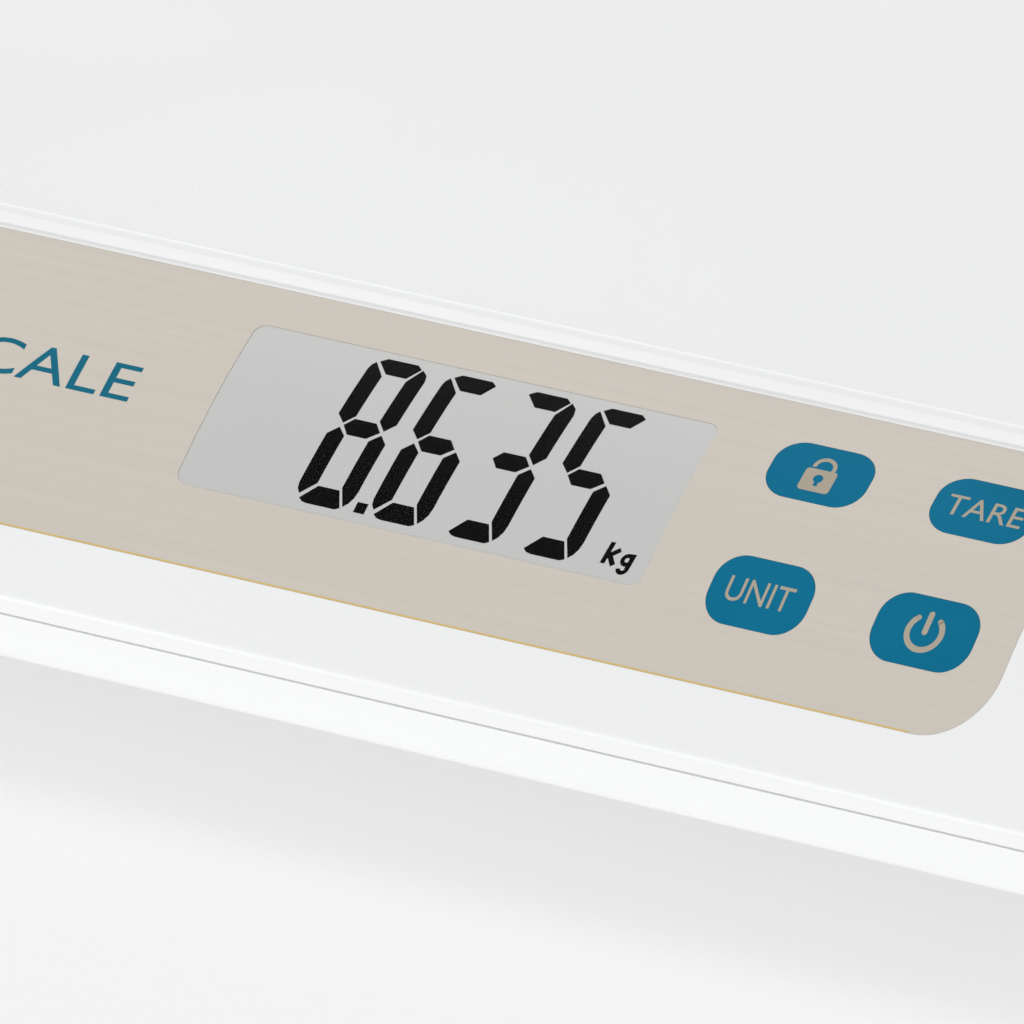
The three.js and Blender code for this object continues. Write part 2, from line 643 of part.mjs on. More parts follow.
function battery(index) {
  const half = BATTERY_LENGTH / 2;
  const facing = index % 2 ? 1 : -1;
  const cell = turned([[0, -half], [4, -half], [BATTERY_RADIUS, -half + 0.6], [BATTERY_RADIUS, half - 0.6],
    [4.6, half], [1.9, half], [1.9, half + 1], [0, half + 1]], 12);
  return cell.rotateY(facing * Math.PI / 2).translate(0, batteryY(index), BATTERY_Z);
}

const batteryY = (index) => BATTERY_Y + (index - 1.5) * BATTERY_PITCH;

// A contact plate on one end wall, with a sprung cone for each minus end and a stud for each plus end.
function contactPlate(side, cells) {
  const wall = side * (BAY.width / 2 - GAP);
  const face = wall - side * CONTACT_THICKNESS;
  const rows = cells.map(batteryY);
  const low = [Math.min(wall, face), Math.min(...rows) - CONTACT_REACH, BATTERY_Z - CONTACT_REACH];
  const high = [Math.max(wall, face), Math.max(...rows) + CONTACT_REACH, BATTERY_Z + CONTACT_REACH];
  const plate = toSolid(box(low, high));
  const bumps = cells.map((index) => {
    const plusEnd = (index % 2 ? 1 : -1) === side;
    const reach = BAY.width / 2 - GAP - BATTERY_LENGTH / 2 - GAP - (plusEnd ? 1 : 0);
    const cone = new THREE.CylinderGeometry(plusEnd ? 1.5 : 2, plusEnd ? 2 : 3.6, reach, 8);
    cone.rotateZ(side * Math.PI / 2).translate(wall - side * reach / 2, batteryY(index), BATTERY_Z);
    return toSolid(cone);
  });
  return union([plate, ...bumps]);
}

function housingScrew() {
  const bottom = UNDERSIDE_Z + 0.8;
  const under = UNDERSIDE_Z + 3;
  return turned([[0, bottom], [SCREW_HEAD - 0.8, bottom], [SCREW_HEAD, bottom + 0.8], [SCREW_HEAD, under],
    [SCREW_SHANK, under], [SCREW_SHANK, SCREW_END - 2], [0, SCREW_END]], 10);
}

function boardScrew([x, y]) {
  const under = -BOARD_DROP - BOARD_THICKNESS - GAP;
  const geometry = turned([[0, under - 1.6], [2.2, under - 1.6], [2.6, under - 1], [2.6, under],
    [BOARD_SCREW_SHANK, under], [BOARD_SCREW_SHANK, -6], [0, -5.4]], 8);
  return geometry.translate(x, y, 0).applyMatrix4(boardFrame);
}

function ratingPlate() {
  return prism(roundedOutline(PLATE), UNDERSIDE_Z, UNDERSIDE_Z + PLATE.thickness);
}

// ---------------------------------------------------------------- assembly

const scale = new THREE.Group();

function place(name, shape, material, position = [0, 0, 0]) {
  const geometry = shape instanceof THREE.BufferGeometry ? shape : toGeometry(shape);
  const mesh = new THREE.Mesh(geometry, material);
  mesh.name = name;
  mesh.position.set(...position);
  scale.add(mesh);
}

place('top_housing', topHousing(), WHITE_GLOSS);
place('bottom_housing', bottomHousing(), WHITE_GLOSS);
place('panel_overlay', panelOverlay(), OVERLAY_BEIGE);
place('display_window', displayWindow(), WINDOW_CLEAR);
place('lcd_panel', lcdPanel(), DISPLAY_GREY);
place('lcd_holder', lcdHolder(), HOLDER_BLACK);
place('zebra_strip', zebraStrip(), RUBBER);
place('main_board', mainBoard(), BOARD_GREEN);
place('controller_chip', controllerChip(), HOLDER_BLACK);
for (const key of KEYS) {
  place(`key_${key.name}`, keyPiece(key), KEY_TEAL);
  place(`switch_${key.name}`, keySwitch(key), HOLDER_BLACK);
}
for (const corner of FEET) {
  place(`load_cell_${corner.name}`, loadCell(corner), STEEL);
  place(`foot_${corner.name}`, foot(), WHITE_GLOSS, [corner.x, corner.y, 0]);
  place(`foot_pad_${corner.name}`, footPad(), RUBBER, [corner.x, corner.y, 0]);
  place(`sensor_cable_${corner.name}`, sensorCable(corner), WIRE);
}
place('battery_door', batteryDoor(), WHITE_GLOSS);
for (const index of [0, 1, 2, 3]) place(`battery_${index + 1}`, battery(index), BATTERY_WRAP);
place('contact_bridge_1_2', contactPlate(-1, [0, 1]), STEEL);
place('contact_bridge_3_4', contactPlate(-1, [2, 3]), STEEL);
place('contact_bridge_2_3', contactPlate(1, [1, 2]), STEEL);
place('contact_terminal_1', contactPlate(1, [0]), STEEL);
place('contact_terminal_4', contactPlate(1, [3]), STEEL);
place('battery_lead', batteryLead(), WIRE);
place('rating_plate', ratingPlate(), LABEL_SILVER);
HOUSING_SCREWS.forEach(([x, y], index) => {
  place(`housing_screw_${index + 1}`, housingScrew(), STEEL, [x, y, 0]);
});
BOARD_POSTS.forEach((post, index) => place(`board_screw_${index + 1}`, boardScrew(post), STEEL));

export default scale;
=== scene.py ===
"""Digital baby scale: the visible pieces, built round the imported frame. Metres, +Z up, front towards -Y."""

import math

import bpy
from bpy.props import FloatProperty, FloatVectorProperty, PointerProperty, StringProperty
from mathutils import Matrix, Vector


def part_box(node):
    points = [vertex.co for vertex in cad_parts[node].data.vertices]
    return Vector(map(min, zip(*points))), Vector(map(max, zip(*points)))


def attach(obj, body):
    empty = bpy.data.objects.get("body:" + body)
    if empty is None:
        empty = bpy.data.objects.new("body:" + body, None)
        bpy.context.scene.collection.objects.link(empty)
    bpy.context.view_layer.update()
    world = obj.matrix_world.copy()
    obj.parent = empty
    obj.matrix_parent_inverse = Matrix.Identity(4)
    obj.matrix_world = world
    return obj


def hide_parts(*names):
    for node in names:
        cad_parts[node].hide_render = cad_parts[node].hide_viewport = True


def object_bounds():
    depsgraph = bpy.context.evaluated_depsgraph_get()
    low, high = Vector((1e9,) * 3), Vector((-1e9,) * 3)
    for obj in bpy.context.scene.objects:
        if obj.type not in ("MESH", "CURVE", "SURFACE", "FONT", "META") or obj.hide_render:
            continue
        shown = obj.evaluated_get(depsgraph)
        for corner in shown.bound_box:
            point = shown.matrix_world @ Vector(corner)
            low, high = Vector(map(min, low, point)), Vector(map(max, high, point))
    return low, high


bl_info = {
    "name": "Digital Baby Scale",
    "version": (1, 0, 0),
    "blender": (4, 5, 0),
    "location": "View3D > Sidebar > Baby Scale",
    "description": "Builds the visible pieces of a digital baby scale round its packed frame",
    "category": "Object",
}

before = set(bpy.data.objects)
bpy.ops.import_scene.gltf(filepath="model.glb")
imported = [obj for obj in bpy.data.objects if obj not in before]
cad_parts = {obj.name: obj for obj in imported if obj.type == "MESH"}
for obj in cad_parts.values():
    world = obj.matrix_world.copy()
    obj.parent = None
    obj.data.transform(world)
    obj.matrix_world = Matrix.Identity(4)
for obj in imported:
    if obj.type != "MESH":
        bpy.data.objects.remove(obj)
CAD_LOW, CAD_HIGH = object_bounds()
MM = 0.001

# ---------------------------------------------------------------- fixed sizes

SEAM_GAP = 0.3 * MM
SEAM_ROUND = 0.15 * MM
WALL = 3 * MM
EDGE_RADIUS = 3 * MM
PANEL_SETBACK = 9 * MM
CONSOLE_HALF = 105 * MM
REAR_SHARE = 0.8
END_SHARE = 0.85
RIM_WIDTH = 34 * MM
RIM_RISE = 33.94 * MM

TRAY_HALF_WIDTH = 110 * MM
TRAY_HALF_DEPTH = 22 * MM
TRAY_CORNER = 18 * MM
TRAY_CENTRE_Y = 13 * MM

FILM = 0.5 * MM
HAIRLINE = 0.05 * MM
PRINT = 0.02 * MM
CONSOLE_STEP = 1.5 * MM

WINDOW = {"x": 0, "y": 25.47 * MM, "width": 77 * MM, "depth": 28.9 * MM, "corner": 2 * MM}
DISPLAY = {"x": 0, "y": 25.47 * MM, "width": 80.8 * MM, "depth": 32.8 * MM, "corner": 1 * MM}
DISPLAY_DROP = 0.8 * MM
DISPLAY_THICKNESS = 2.4 * MM
COVER = 0.05 * MM

KEY_GAP = 0.4 * MM
DISPLAY_GAP = 0.3 * MM
RECESS_TOP = 6 * MM
SLAB = 1 * MM
BELOW = -10 * MM
OVERHEAD = 0.2
SHARP_ANGLE = math.radians(40)

KEY_THICKNESS = 2 * MM
KEY_COLUMNS = (56.95 * MM, 83.43 * MM)
KEY_ROWS = (13.94 * MM, 35.03 * MM)
KEYS = {
    "lock": (KEY_COLUMNS[0], KEY_ROWS[1]),
    "tare": (KEY_COLUMNS[1], KEY_ROWS[1]),
    "unit": (KEY_COLUMNS[0], KEY_ROWS[0]),
    "power": (KEY_COLUMNS[1], KEY_ROWS[0]),
}

CORNERS = ("front_left", "front_right", "rear_left", "rear_right")
HOUSING_SCREWS = range(1, 7)
STEM_HOLE = 13 * MM
FLOOR_THICKNESS = 2.5 * MM
LOWER_EDGE_RADIUS = 4 * MM

FRONT_COLUMNS = 44
SIDE_COLUMNS = 14
CORNER_COLUMNS = 18
TRAY_ROWS = 36


# ---------------------------------------------------------------- settings

class ScaleSizes(bpy.types.PropertyGroup):
    """Sizes that set the shape of the mouldings."""

    corner_radius: FloatProperty(
        name="Corner Radius", description="Radius of the housing's corners seen from above",
        default=85 * MM, unit="LENGTH")
    seam_height: FloatProperty(
        name="Seam Height", description="Height of the joint between the two housings",
        default=19.45 * MM, unit="LENGTH")
    panel_height: FloatProperty(
        name="Panel Height", description="Height of the front edge of the printed panel",
        default=29 * MM, unit="LENGTH")
    panel_width: FloatProperty(
        name="Panel Width", description="Width of the printed panel", default=195 * MM, unit="LENGTH")
    panel_depth: FloatProperty(
        name="Panel Depth", description="Depth of the printed panel seen from above",
        default=47.88 * MM, unit="LENGTH")
    panel_corner: FloatProperty(
        name="Panel Corner", description="Corner radius of the printed panel",
        default=10 * MM, unit="LENGTH")
    panel_slope: FloatProperty(
        name="Panel Slope", description="Rise over run at the panel's front edge", default=0.6757)
    panel_curve: FloatProperty(
        name="Panel Curve", description="How fast the slope falls away, per metre of run", default=10.754)
    crest_run: FloatProperty(
        name="Crest Run", description="Distance of the crest behind the panel's front edge",
        default=50.9 * MM, unit="LENGTH")
    crest_rise: FloatProperty(
        name="Crest Rise", description="Height of the crest over the panel's front edge",
        default=22.6 * MM, unit="LENGTH")
    tray_height: FloatProperty(
        name="Tray Height", description="Height of the flat middle of the tray",
        default=38 * MM, unit="LENGTH")
    key_width: FloatProperty(
        name="Key Width", description="Width of each press key", default=15.93 * MM, unit="LENGTH")
    key_depth: FloatProperty(
        name="Key Depth", description="Depth of each press key", default=10.57 * MM, unit="LENGTH")
    key_corner: FloatProperty(
        name="Key Corner", description="Corner radius of each press key",
        default=4.27 * MM, unit="LENGTH")
    digit_height: FloatProperty(
        name="Digit Height", description="Height of the figures on the display",
        default=26.3 * MM, unit="LENGTH")


def colour_property(name, description, default):
    return FloatVectorProperty(name=name, description=description, default=default,
                               subtype="COLOR", size=3, min=0, max=1)


class ScaleFinish(bpy.types.PropertyGroup):
    """Colours and words of the finished scale."""

    housing: colour_property("Housing", "White of the mouldings", (0.88, 0.885, 0.89))
    film: colour_property("Panel Film", "Beige of the printed panel", (0.628, 0.58, 0.512))
    film_border: colour_property(
        "Panel Border", "Gold line along the panel's front edge", (0.72, 0.50, 0.14))
    display: colour_property("Display", "Grey of the display's background", (0.6, 0.6, 0.595))
    figures: colour_property("Figures", "Black of the display's figures", (0.003, 0.004, 0.003))
    key: colour_property("Key", "Teal of the keys", (0.0035, 0.158, 0.285))
    legend: colour_property("Legend", "Beige of the marks on the keys", (0.43, 0.38, 0.30))
    word: colour_property("Word", "Teal of the word on the panel", (0.012, 0.15, 0.23))
    reading: StringProperty(name="Reading", description="Figures on the display", default="8.635")
    panel_word: StringProperty(name="Panel Word", description="Plain word on the panel", default="SCALE")


def sizes():
    return bpy.context.scene.baby_scale_sizes


def finish():
    return bpy.context.scene.baby_scale_finish


# ---------------------------------------------------------------- console and rim surfaces

PANEL_FRONT = CAD_LOW.y + PANEL_SETBACK


def panel_rise(run):
    """Height of the console over the panel's front edge, at a run behind that edge."""
    size = sizes()
    if run < 0:
        return size.panel_slope * run
    curved = min(run, size.panel_depth)
    end_slope = size.panel_slope - size.panel_curve * curved
    rise = size.panel_slope * curved - size.panel_curve * curved ** 2 / 2
    return rise + end_slope * (run - curved)


def console_height(y):
    return sizes().panel_height + panel_rise(y - PANEL_FRONT)


def smooth_step(value):
    value = min(max(value, 0.0), 1.0)
    return value * value * (3 - 2 * value)


def rim_ring(run):
    """The rounded rectangle the moulding follows: half width, front, rear and corner radius."""
    size = sizes()
    inset = RIM_WIDTH * (run + PANEL_SETBACK) / (size.crest_run + PANEL_SETBACK)
    return (CAD_HIGH.x - inset, PANEL_FRONT + run, CAD_HIGH.y - inset, size.corner_radius - inset)


def inset_ring(ring, inset):
    half_width, front, rear, corner = ring
    return (half_width - inset, front + inset, rear - inset, corner - inset)


def tray_ring(share):
    """A ring part of the way from the crest to the tray's flat middle."""
    crest = rim_ring(sizes().crest_run)
    front, rear = TRAY_CENTRE_Y - TRAY_HALF_DEPTH, TRAY_CENTRE_Y + TRAY_HALF_DEPTH
    middle = (TRAY_HALF_WIDTH, front, rear, TRAY_CORNER)
    return tuple(start + (end - start) * share for start, end in zip(crest, middle))


def ring_points(ring):
    """Points of a ring, anticlockwise from above, the same count and order on every ring."""
    half_width, front, rear, corner = ring
    straight = half_width - corner
    low, high = front + corner, rear - corner

    def line(start, end, steps):
        return [Vector(start).lerp(Vector(end), step / steps) for step in range(steps)]

    def bend(x, y, start):
        angles = [start + math.pi / 2 * step / CORNER_COLUMNS for step in range(CORNER_COLUMNS)]
        return [Vector((x + corner * math.cos(angle), y + corner * math.sin(angle))) for angle in angles]

    return (line((-straight, front), (straight, front), FRONT_COLUMNS)
            + bend(straight, low, -math.pi / 2)
            + line((half_width, low), (half_width, high), SIDE_COLUMNS)
            + bend(straight, high, 0)
            + line((straight, rear), (-straight, rear), FRONT_COLUMNS)
            + bend(-straight, high, math.pi / 2)
            + line((-half_width, high), (-half_width, low), SIDE_COLUMNS)
            + bend(-straight, low, math.pi))


def rim_factor(point, ring):
    """How many times as high as on the console a point of a rim ring stands over the seam."""
    size = sizes()
    half_width, front, rear, _ = ring
    back = smooth_step((point.y - front) / (rear - front))
    end = smooth_step((abs(point.x) - CONSOLE_HALF) / (half_width - CONSOLE_HALF))
    climb = 1 - (1 - REAR_SHARE * back) * (1 - END_SHARE * end)
    return 1 + RIM_RISE * climb / (size.panel_height + size.crest_rise - size.seam_height)


def rim_row(run, rise, inset=0.0):
    size = sizes()
    ring = rim_ring(run)
    inner = ring_points(inset_ring(ring, inset))
    row = []
    for point, place in zip(ring_points(ring), inner):
        height = size.seam_height + (size.panel_height + rise - size.seam_height) * rim_factor(point, ring)
        row.append((place.x, place.y, height - inset))
    return row


def tray_row(share, drop=0.0):
    size = sizes()
    crest = rim_row(size.crest_run, size.crest_rise)
    fall = (1 - share) ** 2 * (1 + 0.6 * share)
    return [(point.x, point.y, size.tray_height + (edge[2] - size.tray_height) * fall - drop)
            for point, edge in zip(ring_points(tray_ring(share)), crest)]


def flat_row(ring, height):
    return [(point.x, point.y, height) for point in ring_points(ring)]


def centre_row(height, y=0.0):
    return [(0.0, y, height)] * len(ring_points(rim_ring(0)))


# ---------------------------------------------------------------- outlines

ARC_STEP = math.radians(12)


def rounded_path(corners, arc_step=ARC_STEP):
    """(x, y, radius) corners as a run of points, with each round corner an arc."""
    path = []
    for index, (x, y, radius) in enumerate(corners):
        here = Vector((x, y))
        if not radius or index in (0, len(corners) - 1):
            path.append(here)
            continue
        back = (Vector(corners[index - 1][:2]) - here).normalized()
        ahead = (Vector(corners[index + 1][:2]) - here).normalized()
        half = back.angle(ahead) / 2
        centre = here + (back + ahead).normalized() * radius / math.sin(half)
        start = here + back * radius / math.tan(half) - centre
        end = here + ahead * radius / math.tan(half) - centre
        turn = math.atan2(start.cross(end), start.dot(end))
        steps = max(2, math.ceil(abs(turn) / arc_step))
        first = math.atan2(start.y, start.x)
        for step in range(steps + 1):
            angle = first + turn * step / steps
            path.append(centre + Vector((math.cos(angle), math.sin(angle))) * radius)
    return path


# ---------------------------------------------------------------- modelling helpers

def only(piece):
    bpy.ops.object.select_all(action="DESELECT")
    piece.select_set(True)
    bpy.context.view_layer.objects.active = piece
    return piece


def in_edit_mode(piece, *steps):
    """Runs steps on everything in the piece, selected, in edit mode."""
    only(piece)
    bpy.ops.object.mode_set(mode="EDIT")
    bpy.ops.mesh.select_mode(type="VERT")
    for step in steps:
        bpy.ops.mesh.select_all(action="SELECT")
        step()
    bpy.ops.object.mode_set(mode="OBJECT")
    return piece


def named(piece, name):
    piece.name = name
    piece.data.name = name
    return piece


def tidy_normals(piece, merge=1e-7):
    """Merges doubled points and turns every face outwards."""
    return in_edit_mode(
        piece,
        lambda: bpy.ops.mesh.remove_doubles(threshold=merge),
        lambda: bpy.ops.mesh.normals_make_consistent(inside=False))


def settle(piece):
    """Puts the place, turn and size of an object into its mesh."""
    only(piece)
    bpy.ops.object.transform_apply(location=True, rotation=True, scale=True)
    return piece


def smooth_by_angle(piece, degrees):
    only(piece)
    bpy.ops.object.shade_smooth_by_angle(angle=math.radians(degrees))
    return piece


def apply_modifier(piece, kind, **settings):
    only(piece)
    modifier = piece.modifiers.new(kind.title(), kind)
    for key, value in settings.items():
        setattr(modifier, key, value)
    bpy.ops.object.modifier_apply(modifier=modifier.name)
    return piece


def join(pieces):
    bpy.ops.object.select_all(action="DESELECT")
    for piece in pieces:
        piece.select_set(True)
    bpy.context.view_layer.objects.active = pieces[0]
    if len(pieces) > 1:
        bpy.ops.object.join()
    return pieces[0]


def combine(piece, others, operation="DIFFERENCE"):
    """Cuts pieces out of one, or adds them to it, and removes them."""
    for other in others:
        apply_modifier(piece, "BOOLEAN", operation=operation, solver="EXACT", object=other)
        remove(other)
    return piece


def bevel_edges(piece, width, segments):
    return apply_modifier(piece, "BEVEL", width=width, segments=segments, limit_method="ANGLE",
                          angle_limit=SHARP_ANGLE, harden_normals=False)


def copied(piece, name, move):
    """A copy of a piece with a mesh of its own, put in place by a matrix."""
    copy = piece.copy()
    copy.data = piece.data.copy()
    copy.data.transform(move)
    bpy.context.scene.collection.objects.link(copy)
    return named(copy, name)


def add_primitive(kind, **settings):
    """Adds a primitive with nothing else selected."""
    bpy.ops.object.select_all(action="DESELECT")
    getattr(bpy.ops.mesh, f"primitive_{kind}_add")(**settings)
    return bpy.context.object


def woven_skin(name, rows):
    """One closed skin through rows of points, the first and last of them drawn to a point."""
    grid = add_primitive("grid", x_subdivisions=len(rows[0]), y_subdivisions=len(rows) - 1, size=1)
    piece = named(grid, name)
    flat = [value for row in rows for point in [*row, row[0]] for value in point]
    piece.data.vertices.foreach_set("co", flat)
    piece.data.update()
    return tidy_normals(piece)


def block(low, high):
    """A box between two corners."""
    low, high = Vector(low), Vector(high)
    piece = add_primitive("cube", size=1, location=(low + high) / 2)
    piece.scale = high - low
    return settle(piece)


def add_cylinder(radius, low, high, centre, sides):
    """An upright cylinder between two heights, over the centre's x and y."""
    place = (centre[0], centre[1], (low + high) / 2)
    return settle(add_primitive("cylinder", vertices=sides, radius=radius, depth=high - low, location=place))


def rounded_block(x, y, width, depth, corner, low, high, segments=14):
    """A flat block with upright round corners."""
    piece = add_primitive("plane", size=1, location=(x, y, low))
    piece.scale = (width, depth, 1)
    settle(piece)
    rise = {"value": (0, 0, high - low)}
    rounding = {"offset": corner, "offset_type": "OFFSET", "segments": segments, "affect": "VERTICES"}
    in_edit_mode(
        piece,
        lambda: bpy.ops.mesh.bevel(**rounding),
        lambda: bpy.ops.mesh.extrude_region_move(TRANSFORM_OT_translate=rise),
        lambda: bpy.ops.mesh.normals_make_consistent(inside=False))
    return piece


def node_centre(node):
    low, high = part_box(node)
    return (low + high) / 2


def key_outline(place):
    size = sizes()
    return {"x": place[0], "y": place[1], "width": size.key_width, "depth": size.key_depth,
            "corner": size.key_corner}


def grown(outline, margin):
    """An outline made larger all round by a margin."""
    return {**outline, "width": outline["width"] + 2 * margin, "depth": outline["depth"] + 2 * margin,
            "corner": outline["corner"] + margin}


def upright(outline, low=0.0, high=0.12):
    """A rounded block over the console, its outline given in the panel's own runs."""
    return rounded_block(outline["x"], outline["y"] + PANEL_FRONT, outline["width"], outline["depth"],
                         outline["corner"], low, high)


def lay_on_console(piece, bottom, top):
    """Bends a flat block or print to the console: its upper points go to top, the rest to bottom."""
    lows = [vertex.co.y for vertex in piece.data.vertices]
    start, end = min(lows), max(lows)
    steps = int((end - start) / CONSOLE_STEP)

    def cut_across():
        for step in range(1, steps + 1):
            place = start + (end - start) * step / (steps + 1)
            bpy.ops.mesh.select_all(action="SELECT")
            bpy.ops.mesh.bisect(plane_co=(0, place, 0), plane_no=(0, 1, 0))

    in_edit_mode(piece, cut_across)
    heights = [vertex.co.z for vertex in piece.data.vertices]
    middle = (min(heights) + max(heights)) / 2
    for vertex in piece.data.vertices:
        offset = top if vertex.co.z > middle else bottom
        vertex.co.z = console_height(vertex.co.y) + offset
    piece.data.update()
    return piece


def spun(name, corners, centre=(0, 0), steps=64):
    """A turned piece about an upright axis, from (radius, height, rounding) corners."""
    path = rounded_path(corners)
    data = bpy.data.meshes.new(name)
    points = [(centre[0] + point.x, centre[1], point.y) for point in path]
    data.from_pydata(points, [(index, index + 1) for index in range(len(points) - 1)], [])
    piece = bpy.data.objects.new(name, data)
    bpy.context.scene.collection.objects.link(piece)
    in_edit_mode(piece, lambda: bpy.ops.mesh.spin(
        steps=steps, angle=math.tau, center=(*centre, 0), axis=(0, 0, 1)))
    return tidy_normals(piece, 1e-6)


def annulus(x, y, outer, inner, start, end, steps=24):
    """A stretch of a ring as one outline, from one angle to another."""
    angles = [start + (end - start) * step / steps for step in range(steps + 1)]
    rim = [(x + outer * math.cos(angle), y + outer * math.sin(angle)) for angle in angles]
    bore = [(x + inner * math.cos(angle), y + inner * math.sin(angle)) for angle in reversed(angles)]
    return rim + bore


def capsule(x, low, high, width, steps=8):
    """An upright bar with round ends."""
    radius = width / 2
    angles = [math.pi * step / steps for step in range(steps + 1)]
    top = [(x + radius * math.cos(angle), high - radius + radius * math.sin(angle)) for angle in angles]
    bottom = [(2 * x - px, low + high - py) for px, py in top]
    return top + bottom


def print_shape(name, outlines):
    """A thin flat print, from outlines of (x, y) points in the panel's own runs."""
    data = bpy.data.meshes.new(name)
    points, faces = [], []
    for outline in outlines:
        faces.append(list(range(len(points), len(points) + len(outline))))
        points += [(x, y + PANEL_FRONT, 0) for x, y in outline]
    data.from_pydata(points, [], faces)
    piece = bpy.data.objects.new(name, data)
    bpy.context.scene.collection.objects.link(piece)
    return thicken_print(piece)


def thicken_print(piece):
    rise = {"value": (0, 0, SLAB)}
    return in_edit_mode(
        piece,
        lambda: bpy.ops.mesh.extrude_region_move(TRANSFORM_OT_translate=rise),
        lambda: bpy.ops.mesh.normals_make_consistent(inside=False))


def in_metres(corners):
    return [tuple(value * MM for value in corner) for corner in corners]


def remove(*pieces):
    for piece in pieces:
        bpy.data.objects.remove(piece, do_unlink=True)


def print_text(name, body, left, bottom, right, top):
    """A word as a thin flat print that fills a box in the panel's own runs."""
    bpy.ops.object.select_all(action="DESELECT")
    bpy.ops.object.text_add(location=(0, 0, 0))
    text = bpy.context.object
    text.data.body = body
    text.data.resolution_u = 6
    bpy.ops.object.convert(target="MESH")
    piece = named(bpy.context.object, name)
    in_edit_mode(piece, lambda: bpy.ops.mesh.remove_doubles(threshold=1e-6),
                 lambda: bpy.ops.mesh.dissolve_limited(angle_limit=math.radians(1)))
    across = [vertex.co.x for vertex in piece.data.vertices]
    along = [vertex.co.y for vertex in piece.data.vertices]
    low = Vector((min(across), min(along)))
    span = Vector((max(across), max(along))) - low
    for vertex in piece.data.vertices:
        vertex.co.x = left + (vertex.co.x - low.x) / span.x * (right - left)
        vertex.co.y = PANEL_FRONT + bottom + (vertex.co.y - low.y) / span.y * (top - bottom)
    return thicken_print(piece)


def hand_over(piece, body, material, nodes=(), smooth=32):
    """The last touches on every new piece: finish, shading, body and the nodes it stands for."""
    piece.data.materials.clear()
    piece.data.materials.append(material)
    if smooth:
        smooth_by_angle(piece, smooth)
    settle(piece)
    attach(piece, body)
    if nodes:
        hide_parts(*nodes)
    return piece


# ---------------------------------------------------------------- finishes

def new_group(name, inputs, outputs):
    """A shader group with its sockets, as the group, its inputs and its outputs."""
    group = bpy.data.node_groups.new(name, "ShaderNodeTree")
    for label, kind, default in inputs:
        socket = group.interface.new_socket(name=label, in_out="INPUT", socket_type=kind)
        socket.default_value = default
    for label, kind in outputs:
        group.interface.new_socket(name=label, in_out="OUTPUT", socket_type=kind)
    return group, group.nodes.new("NodeGroupInput"), group.nodes.new("NodeGroupOutput")


def add_noise(tree, vector, scale, detail, roughness=0.5):
    noise = tree.nodes.new("ShaderNodeTexNoise")
    noise.inputs["Detail"].default_value = detail
    noise.inputs["Roughness"].default_value = roughness
    tree.links.new(vector, noise.inputs["Vector"])
    tree.links.new(scale, noise.inputs["Scale"])
    return noise.outputs["Fac"]


def add_range(tree, value, low, high, to_low=0.0, to_high=1.0):
    spread = tree.nodes.new("ShaderNodeMapRange")
    tree.links.new(value, spread.inputs["Value"])
    for label, amount in (("From Min", low), ("From Max", high), ("To Min", to_low), ("To Max", to_high)):
        if isinstance(amount, (int, float)):
            spread.inputs[label].default_value = amount
        else:
            tree.links.new(amount, spread.inputs[label])
    return spread.outputs["Result"]


def add_mix(tree, share, first, second):
    mix = tree.nodes.new("ShaderNodeMix")
    mix.data_type = "RGBA"
    tree.links.new(share, mix.inputs["Factor"])
    for socket, value in ((mix.inputs["A"], first), (mix.inputs["B"], second)):
        if isinstance(value, (tuple, list)):
            socket.default_value = value
        else:
            tree.links.new(value, socket)
    return mix.outputs["Result"]


COLOUR, NUMBER, DIRECTION = "NodeSocketColor", "NodeSocketFloat", "NodeSocketVector"
EFFECT_OUTPUTS = [("Colour", COLOUR), ("Roughness", NUMBER), ("Normal", DIRECTION)]
RELIEF = 0.02 * MM


def put_out(group, result, colour, gloss, depth, height):
    """Joins an effect's colour, gloss and fine relief to its group's outputs."""
    group.links.new(colour, result.inputs["Colour"])
    group.links.new(gloss, result.inputs["Roughness"])
    bump = group.nodes.new("ShaderNodeBump")
    bump.inputs["Distance"].default_value = RELIEF
    group.links.new(depth, bump.inputs["Strength"])
    group.links.new(height, bump.inputs["Height"])
    group.links.new(bump.outputs["Normal"], result.inputs["Normal"])


def moulded_skin_group():
    """Moulded plastic: faint clouding, a fine spark-eroded grain and uneven gloss."""
    inputs = [("Colour", COLOUR, (1, 1, 1, 1)), ("Shade", COLOUR, (0.9, 0.9, 0.9, 1)),
              ("Cloud Scale", NUMBER, 12.0), ("Grain Scale", NUMBER, 2200.0), ("Grain Depth", NUMBER, 0.05),
              ("Gloss Low", NUMBER, 0.25), ("Gloss High", NUMBER, 0.35)]
    group, given, result = new_group("moulded_skin", inputs, EFFECT_OUTPUTS)
    place = group.nodes.new("ShaderNodeTexCoord").outputs["Object"]
    clouds = add_noise(group, place, given.outputs["Cloud Scale"], 3.0)
    grain = add_noise(group, place, given.outputs["Grain Scale"], 1.0)
    cloudy = add_range(group, clouds, 0.35, 0.7)
    colour = add_mix(group, cloudy, given.outputs["Colour"], given.outputs["Shade"])
    gloss = add_range(group, clouds, 0.3, 0.7, given.outputs["Gloss Low"], given.outputs["Gloss High"])
    put_out(group, result, colour, gloss, given.outputs["Grain Depth"], grain)


